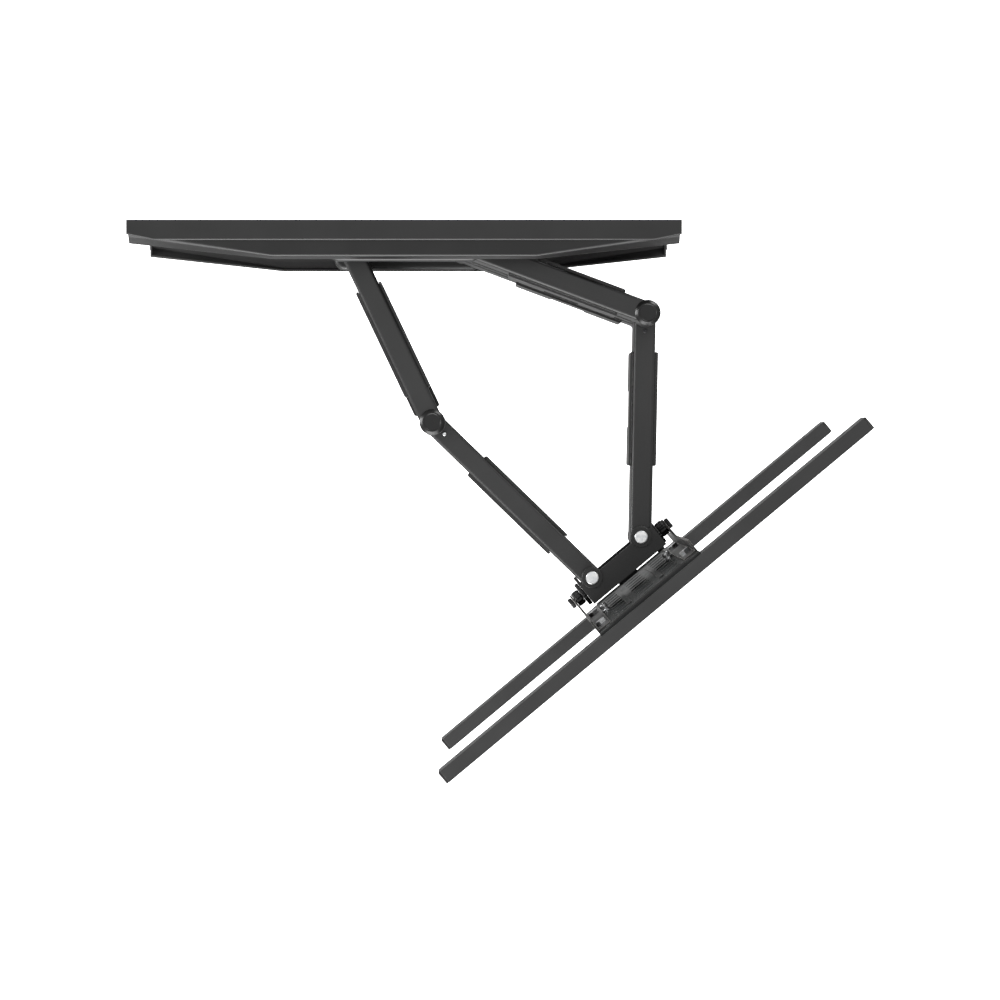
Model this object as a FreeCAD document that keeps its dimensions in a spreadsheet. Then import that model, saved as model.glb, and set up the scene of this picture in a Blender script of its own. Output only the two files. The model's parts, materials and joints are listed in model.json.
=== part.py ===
import FreeCAD, Part
import math
import os
import re

import Sketcher

# An articulating wall mount for a television: a wall plate, two jointed arms
# side by side, a swivel head with a tilting frame, and two rails that the
# screen bolts to.
#
# Row frame: origin on the wall at the centre of the wall plate, +X to the
# right, +Z up, and the room lies towards -Y. The mount is held swung out to
# the right, the way it stands when the screen is turned to one side.

Vector = FreeCAD.Vector
Rotation = FreeCAD.Rotation
Placement = FreeCAD.Placement

# Driving dimensions, in millimetres and degrees

DIMENSIONS = (
    ("plate_width", 680.0, "wall plate, end to end"),
    ("plate_height", 265.0, "wall plate, top to bottom"),
    ("plate_sheet", 2.5, "sheet of the wall plate"),
    ("flange_depth", 25.0, "wall plate's top and bottom flanges"),
    ("flange_end_depth", 17.8, "the same flanges at their clipped ends"),
    ("flange_clip", 34.0, "length of each clipped end"),
    ("flange_round", 2.2, "rounded front edges of the flanges"),
    ("slot_width", 9.0, "wall screw slots"),
    ("slot_length", 40.0, "wall screw slots, end to end"),
    ("slot_rows", 190.0, "between the two rows of slots"),
    ("stud_wide", 609.6, "between the outer columns of slots"),
    ("stud_narrow", 406.4, "between the inner columns of slots"),
    ("stiffener_depth", 44.5, "stiffener in the middle, from the wall"),
    ("stiffener_flat", 326.0, "its straight middle"),
    ("stiffener_end_top", 18.0, "its top face at the ends, from the wall"),
    ("stiffener_end_lip", 28.2, "its lip at the ends, from the wall"),
    ("stiffener_drop", 12.0, "height of the stiffener"),
    ("stiffener_sheet", 2.5, "sheet of the stiffener"),
    ("stiffener_inset", 2.0, "its ends short of the wall plate's ends"),
    ("stiffener_fold", 3.0, "outer radius of its fold"),
    ("lip_lean", 2.6, "how far the lip leans out in the middle"),
    ("bracket_width", 190.0, "shoulder bracket"),
    ("bracket_depth", 48.0, "its ears, from the wall"),
    ("bracket_ear", 6.5, "sheet of its ears"),
    ("bracket_round", 5.8, "rounded upper edges of its ears"),
    ("bracket_back", 4.0, "sheet of its back"),
    ("bracket_corner", 14.0, "round front corners of its ears"),
    ("shoulder_spacing", 143.0, "between the two shoulder pivots"),
    ("shoulder_reach", 25.0, "shoulder pivots from the wall"),
    ("upper_length", 245.7, "upper arm, pivot to pivot"),
    ("forearm_length", 280.2, "forearm, pivot to pivot"),
    ("arm_width", 27.4, "arm tube seen from above"),
    ("arm_height", 50.0, "arm tube"),
    ("arm_wall", 2.0, "wall of the arm tube"),
    ("arm_corner", 4.0, "rounded edges of the arm tube"),
    ("arm_gap", 3.0, "between stacked tubes, where a washer sits"),
    ("shoulder_hub", 15.0, "radius of the hub at the shoulder"),
    ("elbow_hub", 16.0, "radius of the hubs at the elbow"),
    ("head_hub", 14.0, "radius of the hub at the head"),
    ("pin_radius", 6.0, "pivot bolts and rivets"),
    ("bush_radius", 8.0, "outside of the plastic bushes"),
    ("running_gap", 0.05, "round a bolt that turns in its hole"),
    ("press_gap", 0.02, "round a bush in its hub"),
    ("face_gap", 0.1, "between faces that slide"),
    ("loop_gap", 1.0, "round the pivot where the linkage is opened"),
    ("nut_circle", 10.4, "corners of the pivot bolts' hexagons, radius"),
    ("nut_height", 7.0, "pivot bolts' heads and nuts"),
    ("counterbore_radius", 11.0, "recess for the elbow bolt's head"),
    ("counterbore_depth", 9.0, "the same recess"),
    ("spacer_radius", 12.0, "sleeve between the two upper tubes"),
    ("washer_radius", 14.0, "washers at shoulder and elbow"),
    ("elbow_cap_height", 3.6, "elbow cap above the hub"),
    ("elbow_cap_flat", 12.0, "radius of the cap's flat middle"),
    ("elbow_cap_plug", 1.6, "cap's plug in the recess"),
    ("cover_length", 144.0, "clip-on cable cover"),
    ("cover_side", 3.5, "side walls of the cover"),
    ("cover_floor", 2.2, "floor of the cover"),
    ("cover_gap", 0.4, "between cover and tube"),
    ("cover_rim", 4.0, "cover's rim below the top of the tube"),
    ("cover_corner", 2.6, "rounded ends of the cover"),
    ("notch_length", 46.0, "cable notch in the cover"),
    ("notch_rise", 15.0, "cable notch, above the tube's underside"),
    ("cover_left_top", 42.0, "elbow pivot to the left upper cover"),
    ("cover_left_bottom", 18.0, "elbow pivot to the left lower cover"),
    ("cover_right_top", 35.0, "elbow pivot to the right upper cover"),
    ("cover_right_bottom", 23.0, "elbow pivot to the right lower cover"),
    ("cover_left_forearm", 77.0, "elbow pivot to the left forearm's cover"),
    ("cover_right_forearm", 46.5, "elbow pivot to the right forearm's cover"),
    ("mark_radius", 2.4, "small screw head on each forearm"),
    ("mark_height", 1.8, "the same screw head"),
    ("mark_reach", 20.5, "elbow pivot to that screw"),
    ("left_upper_angle", -64.6, "left upper arm, from +X"),
    ("left_forearm_angle", -44.2, "left forearm, from +X"),
    ("head_angle", 39.8, "head and screen, from +X"),
    ("head_spacing", 80.0, "between the two pivots at the head"),
    ("head_width", 118.0, "head bracket"),
    ("head_sheet", 4.0, "sheet of the head bracket"),
    ("head_front", 27.0, "pivots to the head bracket's front"),
    ("head_rear", 1.9, "pivots to its rear edge between the ears"),
    ("rivet_head", 8.2, "bright rivet heads, radius"),
    ("rivet_height", 2.4, "bright rivet heads"),
    ("head_washer_radius", 13.0, "dark washers under the rivet heads"),
    ("head_washer", 1.2, "thickness of those washers"),
    ("tilt_reach", 13.0, "pivots to the tilt axis, outwards"),
    ("tilt_drop", 45.0, "tilt axis below the arms' middle"),
    ("tilt_eye", 12.0, "radius of the head's cheeks round the tilt bolt"),
    ("cheek_rear", 11.0, "pivots to the rear edge of the cheeks"),
    ("frame_eye", 9.0, "radius of the tilt brackets' ears round the same bolt"),
    ("tilt_bolt", 4.0, "radius of the tilt bolts"),
    ("tilt_bolt_head", 8.0, "radius of their heads"),
    ("tilt_bolt_cap", 3.0, "thickness of their heads"),
    ("friction_radius", 16.5, "friction washers"),
    ("friction_sheet", 5.2, "friction washers"),
    ("barrel_radius", 10.3, "spacer barrels on the tilt bolts"),
    ("barrel_length", 10.5, "spacer barrels on the tilt bolts"),
    ("knob_length", 5.4, "tilt knobs"),
    ("knob_core", 5.6, "radius of the knob between its lobes"),
    ("knob_lobe", 2.2, "radius of each lobe"),
    ("knob_wall", 1.2, "closed end of the knob"),
    ("ear_sheet", 2.5, "sheet of the tilt brackets"),
    ("flange_lip", 17.0, "the brackets' side flanges, from the screen plate"),
    ("ear_slope", 20.0, "height over which a flange widens to its ear"),
    ("leg_width", 20.0, "tilt bracket's leg on the screen plate"),
    ("leg_top", 185.0, "top of that leg"),
    ("leg_drop", 185.0, "bottom of that leg, downwards"),
    ("leg_bolt_inset", 10.5, "its bolts from the outer edge"),
    ("leg_bolt_high", 128.0, "upper bolt"),
    ("leg_bolt_low", 76.0, "lower bolt, downwards"),
    ("frame_bolt", 4.0, "radius of the frame's bolts"),
    ("frame_nut_circle", 7.5, "corners of their hexagons, radius"),
    ("frame_nut_height", 5.0, "their heads and nuts"),
    ("plate_reach", 46.7, "pivots to the back of the screen plate"),
    ("screen_sheet", 3.0, "screen plate"),
    ("screen_plate_height", 424.0, "screen plate, top to bottom"),
    ("rib_width", 6.0, "pressed ribs of the screen plate"),
    ("rib_rise", 2.0, "pressed ribs of the screen plate"),
    ("rib_length", 300.0, "pressed ribs of the screen plate"),
    ("rib_spacing", 50.0, "between the two ribs"),
    ("rail_length", 664.0, "rails with their end caps"),
    ("rail_depth", 17.3, "rails, back to front"),
    ("rail_height", 40.0, "rails"),
    ("rail_wall", 2.0, "wall of the rails"),
    ("rail_spacing", 400.0, "between the rails' middles"),
    ("rail_bolt_spacing", 120.0, "between the two bolts of a rail"),
    ("rail_bolt_head", 7.0, "radius of their low round heads"),
    ("rail_bolt_cap", 1.6, "thickness of those heads"),
    ("end_cap", 3.0, "rail end caps outside the tube"),
    ("cap_round", 1.0, "rounded ends of those caps"),
    ("end_plug", 10.0, "rail end caps inside the tube"),
    ("screw_hole", 4.3, "radius of the holes for the screen's screws"),
    ("hole_pitch", 100.0, "between neighbouring screw holes of one side"),
    ("buffer_width", 29.0, "rubber buffer on the head bracket's front"),
    ("buffer_shift", 4.5, "buffer's middle, left of the head's middle"),
    ("buffer_depth", 5.0, "rubber buffer"),
    ("buffer_height", 30.0, "rubber buffer"),
    ("buffer_corner", 2.0, "rounded edges of the buffer"),
    ("bumper_radius", 5.5, "round bumper on the right of the same front"),
    ("bumper_depth", 6.0, "round bumper"),
    ("bumper_shift", 51.0, "bumper's middle, right of the head's middle"),
    ("bumper_drop", 20.0, "bumper and stops below the arms' middle"),
    ("bumper_corner", 1.5, "rounded front edge of the bumper"),
    ("stop_radius", 5.5, "round stops on the back of the screen plate"),
    ("stop_depth", 10.0, "round stops"),
    ("stop_shift", 51.5, "stops from the head's middle, clear of the brackets' legs"),
)

# Counts, shares and tolerances

LEAST_FOLD = 0.2  # inner radius of a fold in sheet as thick as its outer radius
FOLD_STEPS = 5  # flats that make up a fold
ROUND_SHARE = 0.9  # most of a wall that a rounded edge takes
LOBES = 5  # lobes of a tilt knob
SKETCH_START = 100  # size of an outline before its corners are set
STRAIGHT = 0.999  # least cosine between an edge and its direction
TOUCH = 0.01  # most distance between an edge and the level it lies on

doc = FreeCAD.newDocument("tv_wall_mount")
sheet = doc.addObject("Spreadsheet::Sheet", "Dims")
for row, (alias, value, meaning) in enumerate(DIMENSIONS, start=1):
    sheet.set(f"A{row}", alias)
    sheet.set(f"B{row}", str(value))
    sheet.setAlias(f"B{row}", alias)
    sheet.set(f"C{row}", meaning)
doc.recompute()

ALIASES = re.compile(r"\b(" + "|".join(alias for alias, _, _ in DIMENSIONS) + r")\b")
sub_parts = []


def dim(alias):
    """The value of one driving dimension."""
    return float(sheet.get(alias))


def formula(text):
    """An expression in which each driving dimension points to its cell."""
    return ALIASES.sub(r"Dims.\1", text)


def minus(text):
    """The same expression with its sign turned."""
    return f"-({text})"


def both_ways(half):
    """A range as far below zero as above it."""
    return (minus(half), half)


def at_side(side, low, high):
    """A range on the left (-1) or right (1) of the middle, low to high outwards."""
    return (low, high) if side > 0 else (minus(high), minus(low))


# Working levels and distances, as expressions of the driving dimensions

TUBE_TOP = "(arm_height / 2)"
STACK_TOP = "(1.5 * arm_height + arm_gap)"
EAR_UNDER = "(1.5 * arm_height + 2 * arm_gap)"
EAR_TOP = "(1.5 * arm_height + 2 * arm_gap + bracket_ear)"
FORK_UNDER = "(arm_height / 2 + arm_gap)"
FORK_TOP = "(arm_height / 2 + arm_gap + head_sheet)"
RIVET_SEAT = "(arm_height / 2 + arm_gap + head_sheet + head_washer)"
HEAD_SIDE = "(head_width / 2)"
BARREL_START = "(head_width / 2 + 2 * face_gap + friction_sheet)"
EYE_INSIDE = "(head_width / 2 + 4 * face_gap + friction_sheet + barrel_length)"
EYE_OUTSIDE = "(head_width / 2 + 4 * face_gap + friction_sheet + barrel_length + ear_sheet)"
KNOB_START = "(head_width / 2 + 6 * face_gap + friction_sheet + barrel_length + ear_sheet)"
PLATE_BACK = "-plate_reach"
PLATE_FRONT = "(-plate_reach - screen_sheet)"
RAIL_FRONT = "(-plate_reach - screen_sheet - rail_depth)"
TURNS_ON_PIN = "(pin_radius + running_gap)"
TURNS_ON_TILT = "(tilt_bolt + running_gap)"

TURN = {
    "x": Rotation(Vector(0, 1, 0), 90),
    "y": Rotation(Vector(1, 0, 0), -90),
    "z": Rotation(),
}
ACROSS = {"x": ("y", "z"), "y": ("x", "z"), "z": ("x", "y")}


def place_block(feature, x, y, z):
    """Bind a box to three ranges."""
    sides = (("Length", "x", x), ("Width", "y", y), ("Height", "z", z))
    for side, axis, (low, high) in sides:
        feature.setExpression(side, formula(f"({high}) - ({low})"))
        feature.setExpression(f"Placement.Base.{axis}", formula(low))
    return feature


def place_round(feature, axis, centre, along):
    """Stand a round along an axis, through a centre, over a range."""
    feature.Placement = Placement(Vector(), TURN[axis])
    feature.setExpression("Height", formula(f"({along[1]}) - ({along[0]})"))
    feature.setExpression(f"Placement.Base.{axis}", formula(along[0]))
    for other, value in zip(ACROSS[axis], centre):
        feature.setExpression(f"Placement.Base.{other}", formula(value))
    return feature


class Piece:
    """A sub-part made by adding and cutting blocks, rounds and plates."""

    def __init__(self, name):
        self.body = doc.addObject("PartDesign::Body", name)
        self.body.Label = name
        sub_parts.append(self.body)

    def block(self, name, x, y, z, cut=False):
        kind = "Subtractive" if cut else "Additive"
        return place_block(self.body.newObject(f"PartDesign::{kind}Box", name), x, y, z)

    def round(self, name, axis, radius, centre, along, cut=False):
        kind = "Subtractive" if cut else "Additive"
        feature = self.body.newObject(f"PartDesign::{kind}Cylinder", name)
        feature.setExpression("Radius", formula(radius))
        return place_round(feature, axis, centre, along)

    def plate(self, name, corners, low, high, plane="XY_Plane"):
        """A flat plate from an outline seen from above or, on YZ_Plane, from the right."""
        sketch = self.body.newObject("Sketcher::SketchObject", f"{name}_outline")
        level = [item for item in self.body.Origin.OriginFeatures if item.Role == plane]
        sketch.AttachmentSupport = (level[0], [""])
        sketch.MapMode = "FlatFace"
        sketch.setExpression("AttachmentOffset.Base.z", formula(low))
        count = len(corners)
        turns = [2 * math.pi * index / count for index in range(count)]
        start = [Vector(math.cos(turn), math.sin(turn), 0) * SKETCH_START for turn in turns]
        for index in range(count):
            line = Part.LineSegment(start[index], start[(index + 1) % count])
            sketch.addGeometry(line, False)
        for index in range(count):
            joined = Sketcher.Constraint("Coincident", index, 2, (index + 1) % count, 1)
            sketch.addConstraint(joined)
        for index, corner in enumerate(corners):
            offsets = (("DistanceX", corner[0], start[index].x), ("DistanceY", corner[1], start[index].y))
            for kind, value, first in offsets:
                number = sketch.addConstraint(Sketcher.Constraint(kind, -1, 1, index, 1, first))
                sketch.setExpression(f"Constraints[{number}]", formula(value))
        pad = self.body.newObject("PartDesign::Pad", name)
        pad.Profile = sketch
        pad.setExpression("Length", formula(f"({high}) - ({low})"))
        return pad

    def soften(self, name, radius, chosen):
        """Round the edges of the last feature for which chosen is true."""
        doc.recompute()
        last = self.body.Tip
        edges = [f"Edge{number}" for number, edge in enumerate(last.Shape.Edges, start=1) if chosen(edge)]
        feature = self.body.newObject("PartDesign::Fillet", name)
        feature.Base = (last, edges)
        feature.setExpression("Radius", formula(radius))
        return feature

    def stand(self, place):
        self.body.Placement = place


def runs_along(axis):
    """A test for straight edges along one axis."""
    way = {"x": Vector(1, 0, 0), "y": Vector(0, 1, 0), "z": Vector(0, 0, 1)}[axis]
    return lambda edge: abs(edge.tangentAt(edge.FirstParameter).dot(way)) > STRAIGHT


def outer_edge(edge):
    """Whether an edge lies wholly on the top or the bottom of the wall plate."""
    box = edge.BoundBox
    return box.ZLength < TOUCH and abs(abs(box.Center.z) - dim("plate_height") / 2) < TOUCH


def limited(radius, wall):
    """A rounding that leaves part of its wall."""
    return f"min({radius}; {ROUND_SHARE} * {wall})"


def block(name, x, y, z):
    """A loose box."""
    return place_block(doc.addObject("Part::Box", name), x, y, z)


def rod(name, axis, radius, centre, along):
    """A loose round bar."""
    feature = doc.addObject("Part::Cylinder", name)
    feature.setExpression("Radius", formula(radius))
    return place_round(feature, axis, centre, along)


def hexagon(name, axis, circle, centre, along):
    """A loose hexagonal bar."""
    feature = doc.addObject("Part::Prism", name)
    feature.Polygon = 6
    feature.setExpression("Circumradius", formula(circle))
    return place_round(feature, axis, centre, along)


def fuse(name, pieces):
    feature = doc.addObject("Part::MultiFuse", name)
    feature.Shapes = pieces
    return feature


def cut(name, base, tool):
    feature = doc.addObject("Part::Cut", name)
    feature.Base = base
    feature.Tool = tool
    return feature


def ring(name, axis, outer, inner, centre, along):
    """A washer, bush or sleeve."""
    solid = rod(f"{name}_solid", axis, outer, centre, along)
    bore = rod(f"{name}_bore", axis, inner, centre, along)
    return cut(name, solid, bore)


def gather(name, pieces):
    """Separate solids that share one name."""
    feature = doc.addObject("Part::Compound", name)
    feature.Links = pieces
    return feature


def finish(name, feature, place=None):
    """Name a sub-part, put it in its place and keep it."""
    feature.Label = name
    if place is not None:
        feature.Placement = place
    sub_parts.append(feature)
    return feature


# Plan of the linkage: the left arm and the head are set by their angles, and
# the right elbow lies where its two arms meet.

def reach(origin, length, angle):
    """The point at a distance and an angle from another, seen from above."""
    turn = math.radians(angle)
    return origin + Vector(math.cos(turn), math.sin(turn), 0) * length


def bearing(origin, target):
    """The angle from one point to another, seen from above."""
    step = target - origin
    return math.degrees(math.atan2(step.y, step.x))


def elbow_between(shoulder, wrist, near, far):
    """The meeting point of two arms, on the left of the line between their ends."""
    line = wrist - shoulder
    along = (line.Length ** 2 + near ** 2 - far ** 2) / (2 * line.Length)
    aside = math.sqrt(near ** 2 - along ** 2)
    way = Vector(line).normalize()
    return shoulder + way * along + Vector(-way.y, way.x, 0) * aside


SIDES = (("left", -1), ("right", 1))
left_shoulder = Vector(-dim("shoulder_spacing") / 2, -dim("shoulder_reach"), 0)
right_shoulder = Vector(dim("shoulder_spacing") / 2, -dim("shoulder_reach"), 0)
left_elbow = reach(left_shoulder, dim("upper_length"), dim("left_upper_angle"))
left_wrist = reach(left_elbow, dim("forearm_length"), dim("left_forearm_angle"))
right_wrist = reach(left_wrist, dim("head_spacing"), dim("head_angle"))
right_elbow = elbow_between(right_shoulder, right_wrist, dim("upper_length"), dim("forearm_length"))
shoulders = {"left": left_shoulder, "right": right_shoulder}
elbows = {"left": left_elbow, "right": right_elbow}
wrists = {"left": left_wrist, "right": right_wrist}
head_place = Placement((left_wrist + right_wrist) * 0.5, Rotation(Vector(0, 0, 1), dim("head_angle")))


def arm_place(start, end):
    """The place of an arm that runs from one pivot to another."""
    return Placement(start, Rotation(Vector(0, 0, 1), bearing(start, end)))


def on_level(place, level):
    """The same place, higher by a level."""
    return Placement(place.Base + Vector(0, 0, level), place.Rotation)


# Wall side

def make_wall_plate():
    """A plate with a clipped flange above and below, and slots for screws."""
    piece = Piece("wall_plate")
    side = "plate_width / 2"
    top = "plate_height / 2"
    piece.block("back", both_ways(side), ("-plate_sheet", "0"), both_ways(top))
    corners = (
        (minus(side), "-plate_sheet / 2"),
        (minus(side), "-flange_end_depth"),
        ("flange_clip - plate_width / 2", "-flange_depth"),
        ("plate_width / 2 - flange_clip", "-flange_depth"),
        (side, "-flange_end_depth"),
        (side, "-plate_sheet / 2"),
    )
    piece.plate("top_flange", corners, f"{top} - plate_sheet", top)
    piece.plate("bottom_flange", corners, minus(top), f"plate_sheet - {top}")
    piece.soften(
        "flange_edges",
        limited("flange_round", "plate_sheet"),
        lambda edge: outer_edge(edge) and edge.BoundBox.YMax < -dim("plate_sheet"),
    )
    through = ("-2 * plate_sheet", "plate_sheet")
    for row, level in (("high", "slot_rows / 2"), ("low", "-slot_rows / 2")):
        for column, spacing in (("wide", "stud_wide"), ("narrow", "stud_narrow")):
            for hand, sign in SIDES:
                name = f"slot_{row}_{column}_{hand}"
                middle = f"{sign} * {spacing} / 2"
                straight = "(slot_length - slot_width) / 2"
                x = (f"{middle} - {straight}", f"{middle} + {straight}")
                z = (f"{level} - slot_width / 2", f"{level} + slot_width / 2")
                piece.block(name, x, through, z, cut=True)
                for end, edge in enumerate(x):
                    piece.round(f"{name}_{end}", "y", "slot_width / 2", (edge, level), through, cut=True)


def stiffener_block(inset):
    """The solid outline of the stiffener, drawn in by a sheet thickness."""
    side = dim("plate_width") / 2 - dim("stiffener_inset") - inset
    flat = dim("stiffener_flat") / 2
    back = -dim("plate_sheet") - inset
    top = dim("plate_height") / 2 - dim("plate_sheet") - inset
    drop = dim("stiffener_drop") - inset
    fold = max(dim("stiffener_fold") - inset, LEAST_FOLD)
    levels = []
    for step in range(FOLD_STEPS + 1):
        turn = math.pi / 2 * step / FOLD_STEPS
        levels.append((fold * (1 - math.cos(turn)), fold * (1 - math.sin(turn))))
    levels.append((drop, 0))
    outlines = []
    for below, behind in levels:
        level = top - below
        share = below / drop
        lip = dim("stiffener_end_lip") - dim("stiffener_end_top")
        end_depth = dim("stiffener_end_top") + share * lip - behind
        depth = dim("stiffener_depth") + share * dim("lip_lean") - behind
        corners = [
            Vector(-side, back, level),
            Vector(-side, inset - end_depth, level),
            Vector(-flat, inset - depth, level),
            Vector(flat, inset - depth, level),
            Vector(side, inset - end_depth, level),
            Vector(side, back, level),
        ]
        outlines.append(Part.makePolygon(corners + corners[:1]))
    return Part.makeLoft(outlines, True, True)


def make_stiffeners():
    """Folded channels under the top flange and over the bottom one."""
    shape = stiffener_block(0).cut(stiffener_block(dim("stiffener_sheet")))
    for name, turn in (("stiffener_top", 0), ("stiffener_bottom", 1)):
        feature = doc.addObject("Part::Feature", name)
        feature.Shape = shape.mirror(Vector(), Vector(0, 0, 1)) if turn else shape
        finish(name, feature)


def front_edge(height):
    """A test for the straight front edge of the shoulder bracket at a height."""
    front = -dim("bracket_depth")

    def chosen(edge):
        box = edge.BoundBox
        return abs(box.YMax - front) < TOUCH and box.ZLength < TOUCH and abs(box.Center.z - height) < TOUCH

    return chosen


def make_shoulder_bracket():
    """A folded bracket whose two ears carry the shoulder bolts."""
    piece = Piece("shoulder_bracket")
    side = both_ways("bracket_width / 2")
    piece.block("ears", side, ("-bracket_depth", "-plate_sheet"), both_ways(EAR_TOP))
    piece.soften(
        "ear_corners",
        "bracket_corner",
        lambda edge: runs_along("z")(edge) and edge.CenterOfMass.y < -dim("bracket_depth") / 2,
    )
    ear_under = 1.5 * dim("arm_height") + 2 * dim("arm_gap")
    rounding = limited("bracket_round", "bracket_ear")
    piece.soften("upper_ear", rounding, front_edge(ear_under + dim("bracket_ear")))
    inside = ("-bracket_depth - plate_sheet", "-plate_sheet - bracket_back")
    piece.block("inside", both_ways("bracket_width"), inside, both_ways(EAR_UNDER), cut=True)
    piece.soften("lower_ear", rounding, front_edge(-ear_under))
    for hand, sign in SIDES:
        centre = (f"{sign} * shoulder_spacing / 2", "-shoulder_reach")
        piece.round(f"bore_{hand}", "z", TURNS_ON_PIN, centre, both_ways(EAR_TOP), cut=True)


def make_shoulder_hardware():
    """Long bolts through the ears, with nuts, washers and spacer sleeves."""
    nuts = []
    washers = []
    spacers = []
    for hand, sign in SIDES:
        centre = (f"{sign} * shoulder_spacing / 2", "-shoulder_reach")
        nut_level = (f"-{EAR_TOP} - nut_height", f"-{EAR_TOP}")
        shank = rod(f"shoulder_shank_{hand}", "z", "pin_radius", centre, (nut_level[0], EAR_TOP))
        bolt_head = hexagon(
            f"shoulder_head_{hand}", "z", "nut_circle", centre, (EAR_TOP, f"{EAR_TOP} + nut_height")
        )
        finish(f"shoulder_bolt_{hand}", fuse(f"shoulder_bolt_{hand}", [shank, bolt_head]))
        solid = hexagon(f"shoulder_nut_solid_{hand}", "z", "nut_circle", centre, nut_level)
        bore = rod(f"shoulder_nut_bore_{hand}", "z", TURNS_ON_PIN, centre, nut_level)
        nuts.append(cut(f"shoulder_nut_{hand}", solid, bore))
        above = (f"{STACK_TOP} + face_gap", f"{EAR_UNDER} - face_gap")
        below = (minus(above[1]), minus(above[0]))
        for place, level in (("top", above), ("bottom", below)):
            name = f"shoulder_washer_{place}_{hand}"
            washers.append(ring(name, "z", "washer_radius", TURNS_ON_PIN, centre, level))
        between = both_ways(f"{FORK_UNDER} - face_gap")
        spacers.append(
            ring(f"shoulder_spacer_{hand}", "z", "spacer_radius", TURNS_ON_PIN, centre, between)
        )
    finish("shoulder_nuts", gather("shoulder_nuts", nuts))
    finish("shoulder_washers", gather("shoulder_washers", washers))
    finish("shoulder_spacers", gather("shoulder_spacers", spacers))


# Arms

def make_tube(name, length, near_hub, far_hub, near_bore, far_bore, place):
    """A rounded tube with a round hub at each end."""
    piece = Piece(name)
    level = both_ways(TUBE_TOP)
    piece.block("tube", ("0", length), both_ways("arm_width / 2"), level)
    piece.soften("long_edges", "arm_corner", runs_along("x"))
    hollow = (f"{near_hub} - arm_wall", f"{length} - {far_hub} + arm_wall")
    inner_side = both_ways("arm_width / 2 - arm_wall")
    piece.block("hollow", hollow, inner_side, both_ways(f"{TUBE_TOP} - arm_wall"), cut=True)
    piece.round("near_hub", "z", near_hub, ("0", "0"), level)
    piece.round("far_hub", "z", far_hub, (length, "0"), level)
    piece.round("near_bore", "z", near_bore, ("0", "0"), level, cut=True)
    piece.round("far_bore", "z", far_bore, (length, "0"), level, cut=True)
    piece.stand(place)
    return piece


def make_cover(name, start, place):
    """A clip-on cable cover: a channel that holds the tube from below."""
    piece = Piece(name)
    low = f"-({TUBE_TOP}) - cover_gap"
    rim = f"{TUBE_TOP} - cover_rim"
    along = (start, f"{start} + cover_length")
    inner = "arm_width / 2 + cover_gap"
    piece.block("shell", along, both_ways(f"{inner} + cover_side"), (f"{low} - cover_floor", rim))
    piece.soften("end_corners", "cover_corner", runs_along("z"))
    past = (f"{start} - cover_side", f"{start} + cover_length + cover_side")
    piece.block("channel", past, both_ways(inner), (low, f"{rim} + cover_side"), cut=True)
    middle = f"{start} + cover_length / 2"
    notch = (f"{middle} - notch_length / 2", f"{middle} + notch_length / 2")
    rise = (f"{low} - 2 * cover_floor", f"notch_rise - {TUBE_TOP}")
    piece.block("notch", notch, both_ways("arm_width"), rise, cut=True)
    piece.stand(place)


def make_bush(name, centre, bore, level):
    """A plastic bush, as long as the hub that it lines."""
    bush = ring(f"{name}_ring", "z", "bush_radius - press_gap", bore, ("0", "0"), both_ways(TUBE_TOP))
    return on_centre(bush, centre, level)


def on_centre(feature, centre, level=0):
    """Set a loose piece on a pivot."""
    feature.Placement = Placement(centre + Vector(0, 0, level), Rotation())
    return feature


def make_upper_arm(hand):
    """Two stacked tubes that turn as one, with covers and the elbow's hardware."""
    place = arm_place(shoulders[hand], elbows[hand])
    pitch = dim("arm_height") + dim("arm_gap")
    bushes = []
    for layer, level in (("top", pitch), ("bottom", -pitch)):
        name = f"upper_arm_{hand}_{layer}"
        lined = "bush_radius"
        tube = make_tube(
            name, "upper_length", "shoulder_hub", "elbow_hub", lined, TURNS_ON_PIN, on_level(place, level)
        )
        outer = f"{TUBE_TOP} - counterbore_depth"
        recess = (outer, TUBE_TOP) if level > 0 else (minus(TUBE_TOP), minus(outer))
        tube.round("recess", "z", "counterbore_radius", ("upper_length", "0"), recess, cut=True)
        start = f"upper_length - cover_{hand}_{layer} - cover_length"
        make_cover(f"cable_cover_{hand}_{layer}", start, on_level(place, level))
        bushes.append(make_bush(f"bush_{hand}_{layer}", shoulders[hand], TURNS_ON_PIN, level))
    finish(f"shoulder_bushes_{hand}", gather(f"shoulder_bushes_{hand}", bushes))
    make_elbow_hardware(hand)


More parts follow.
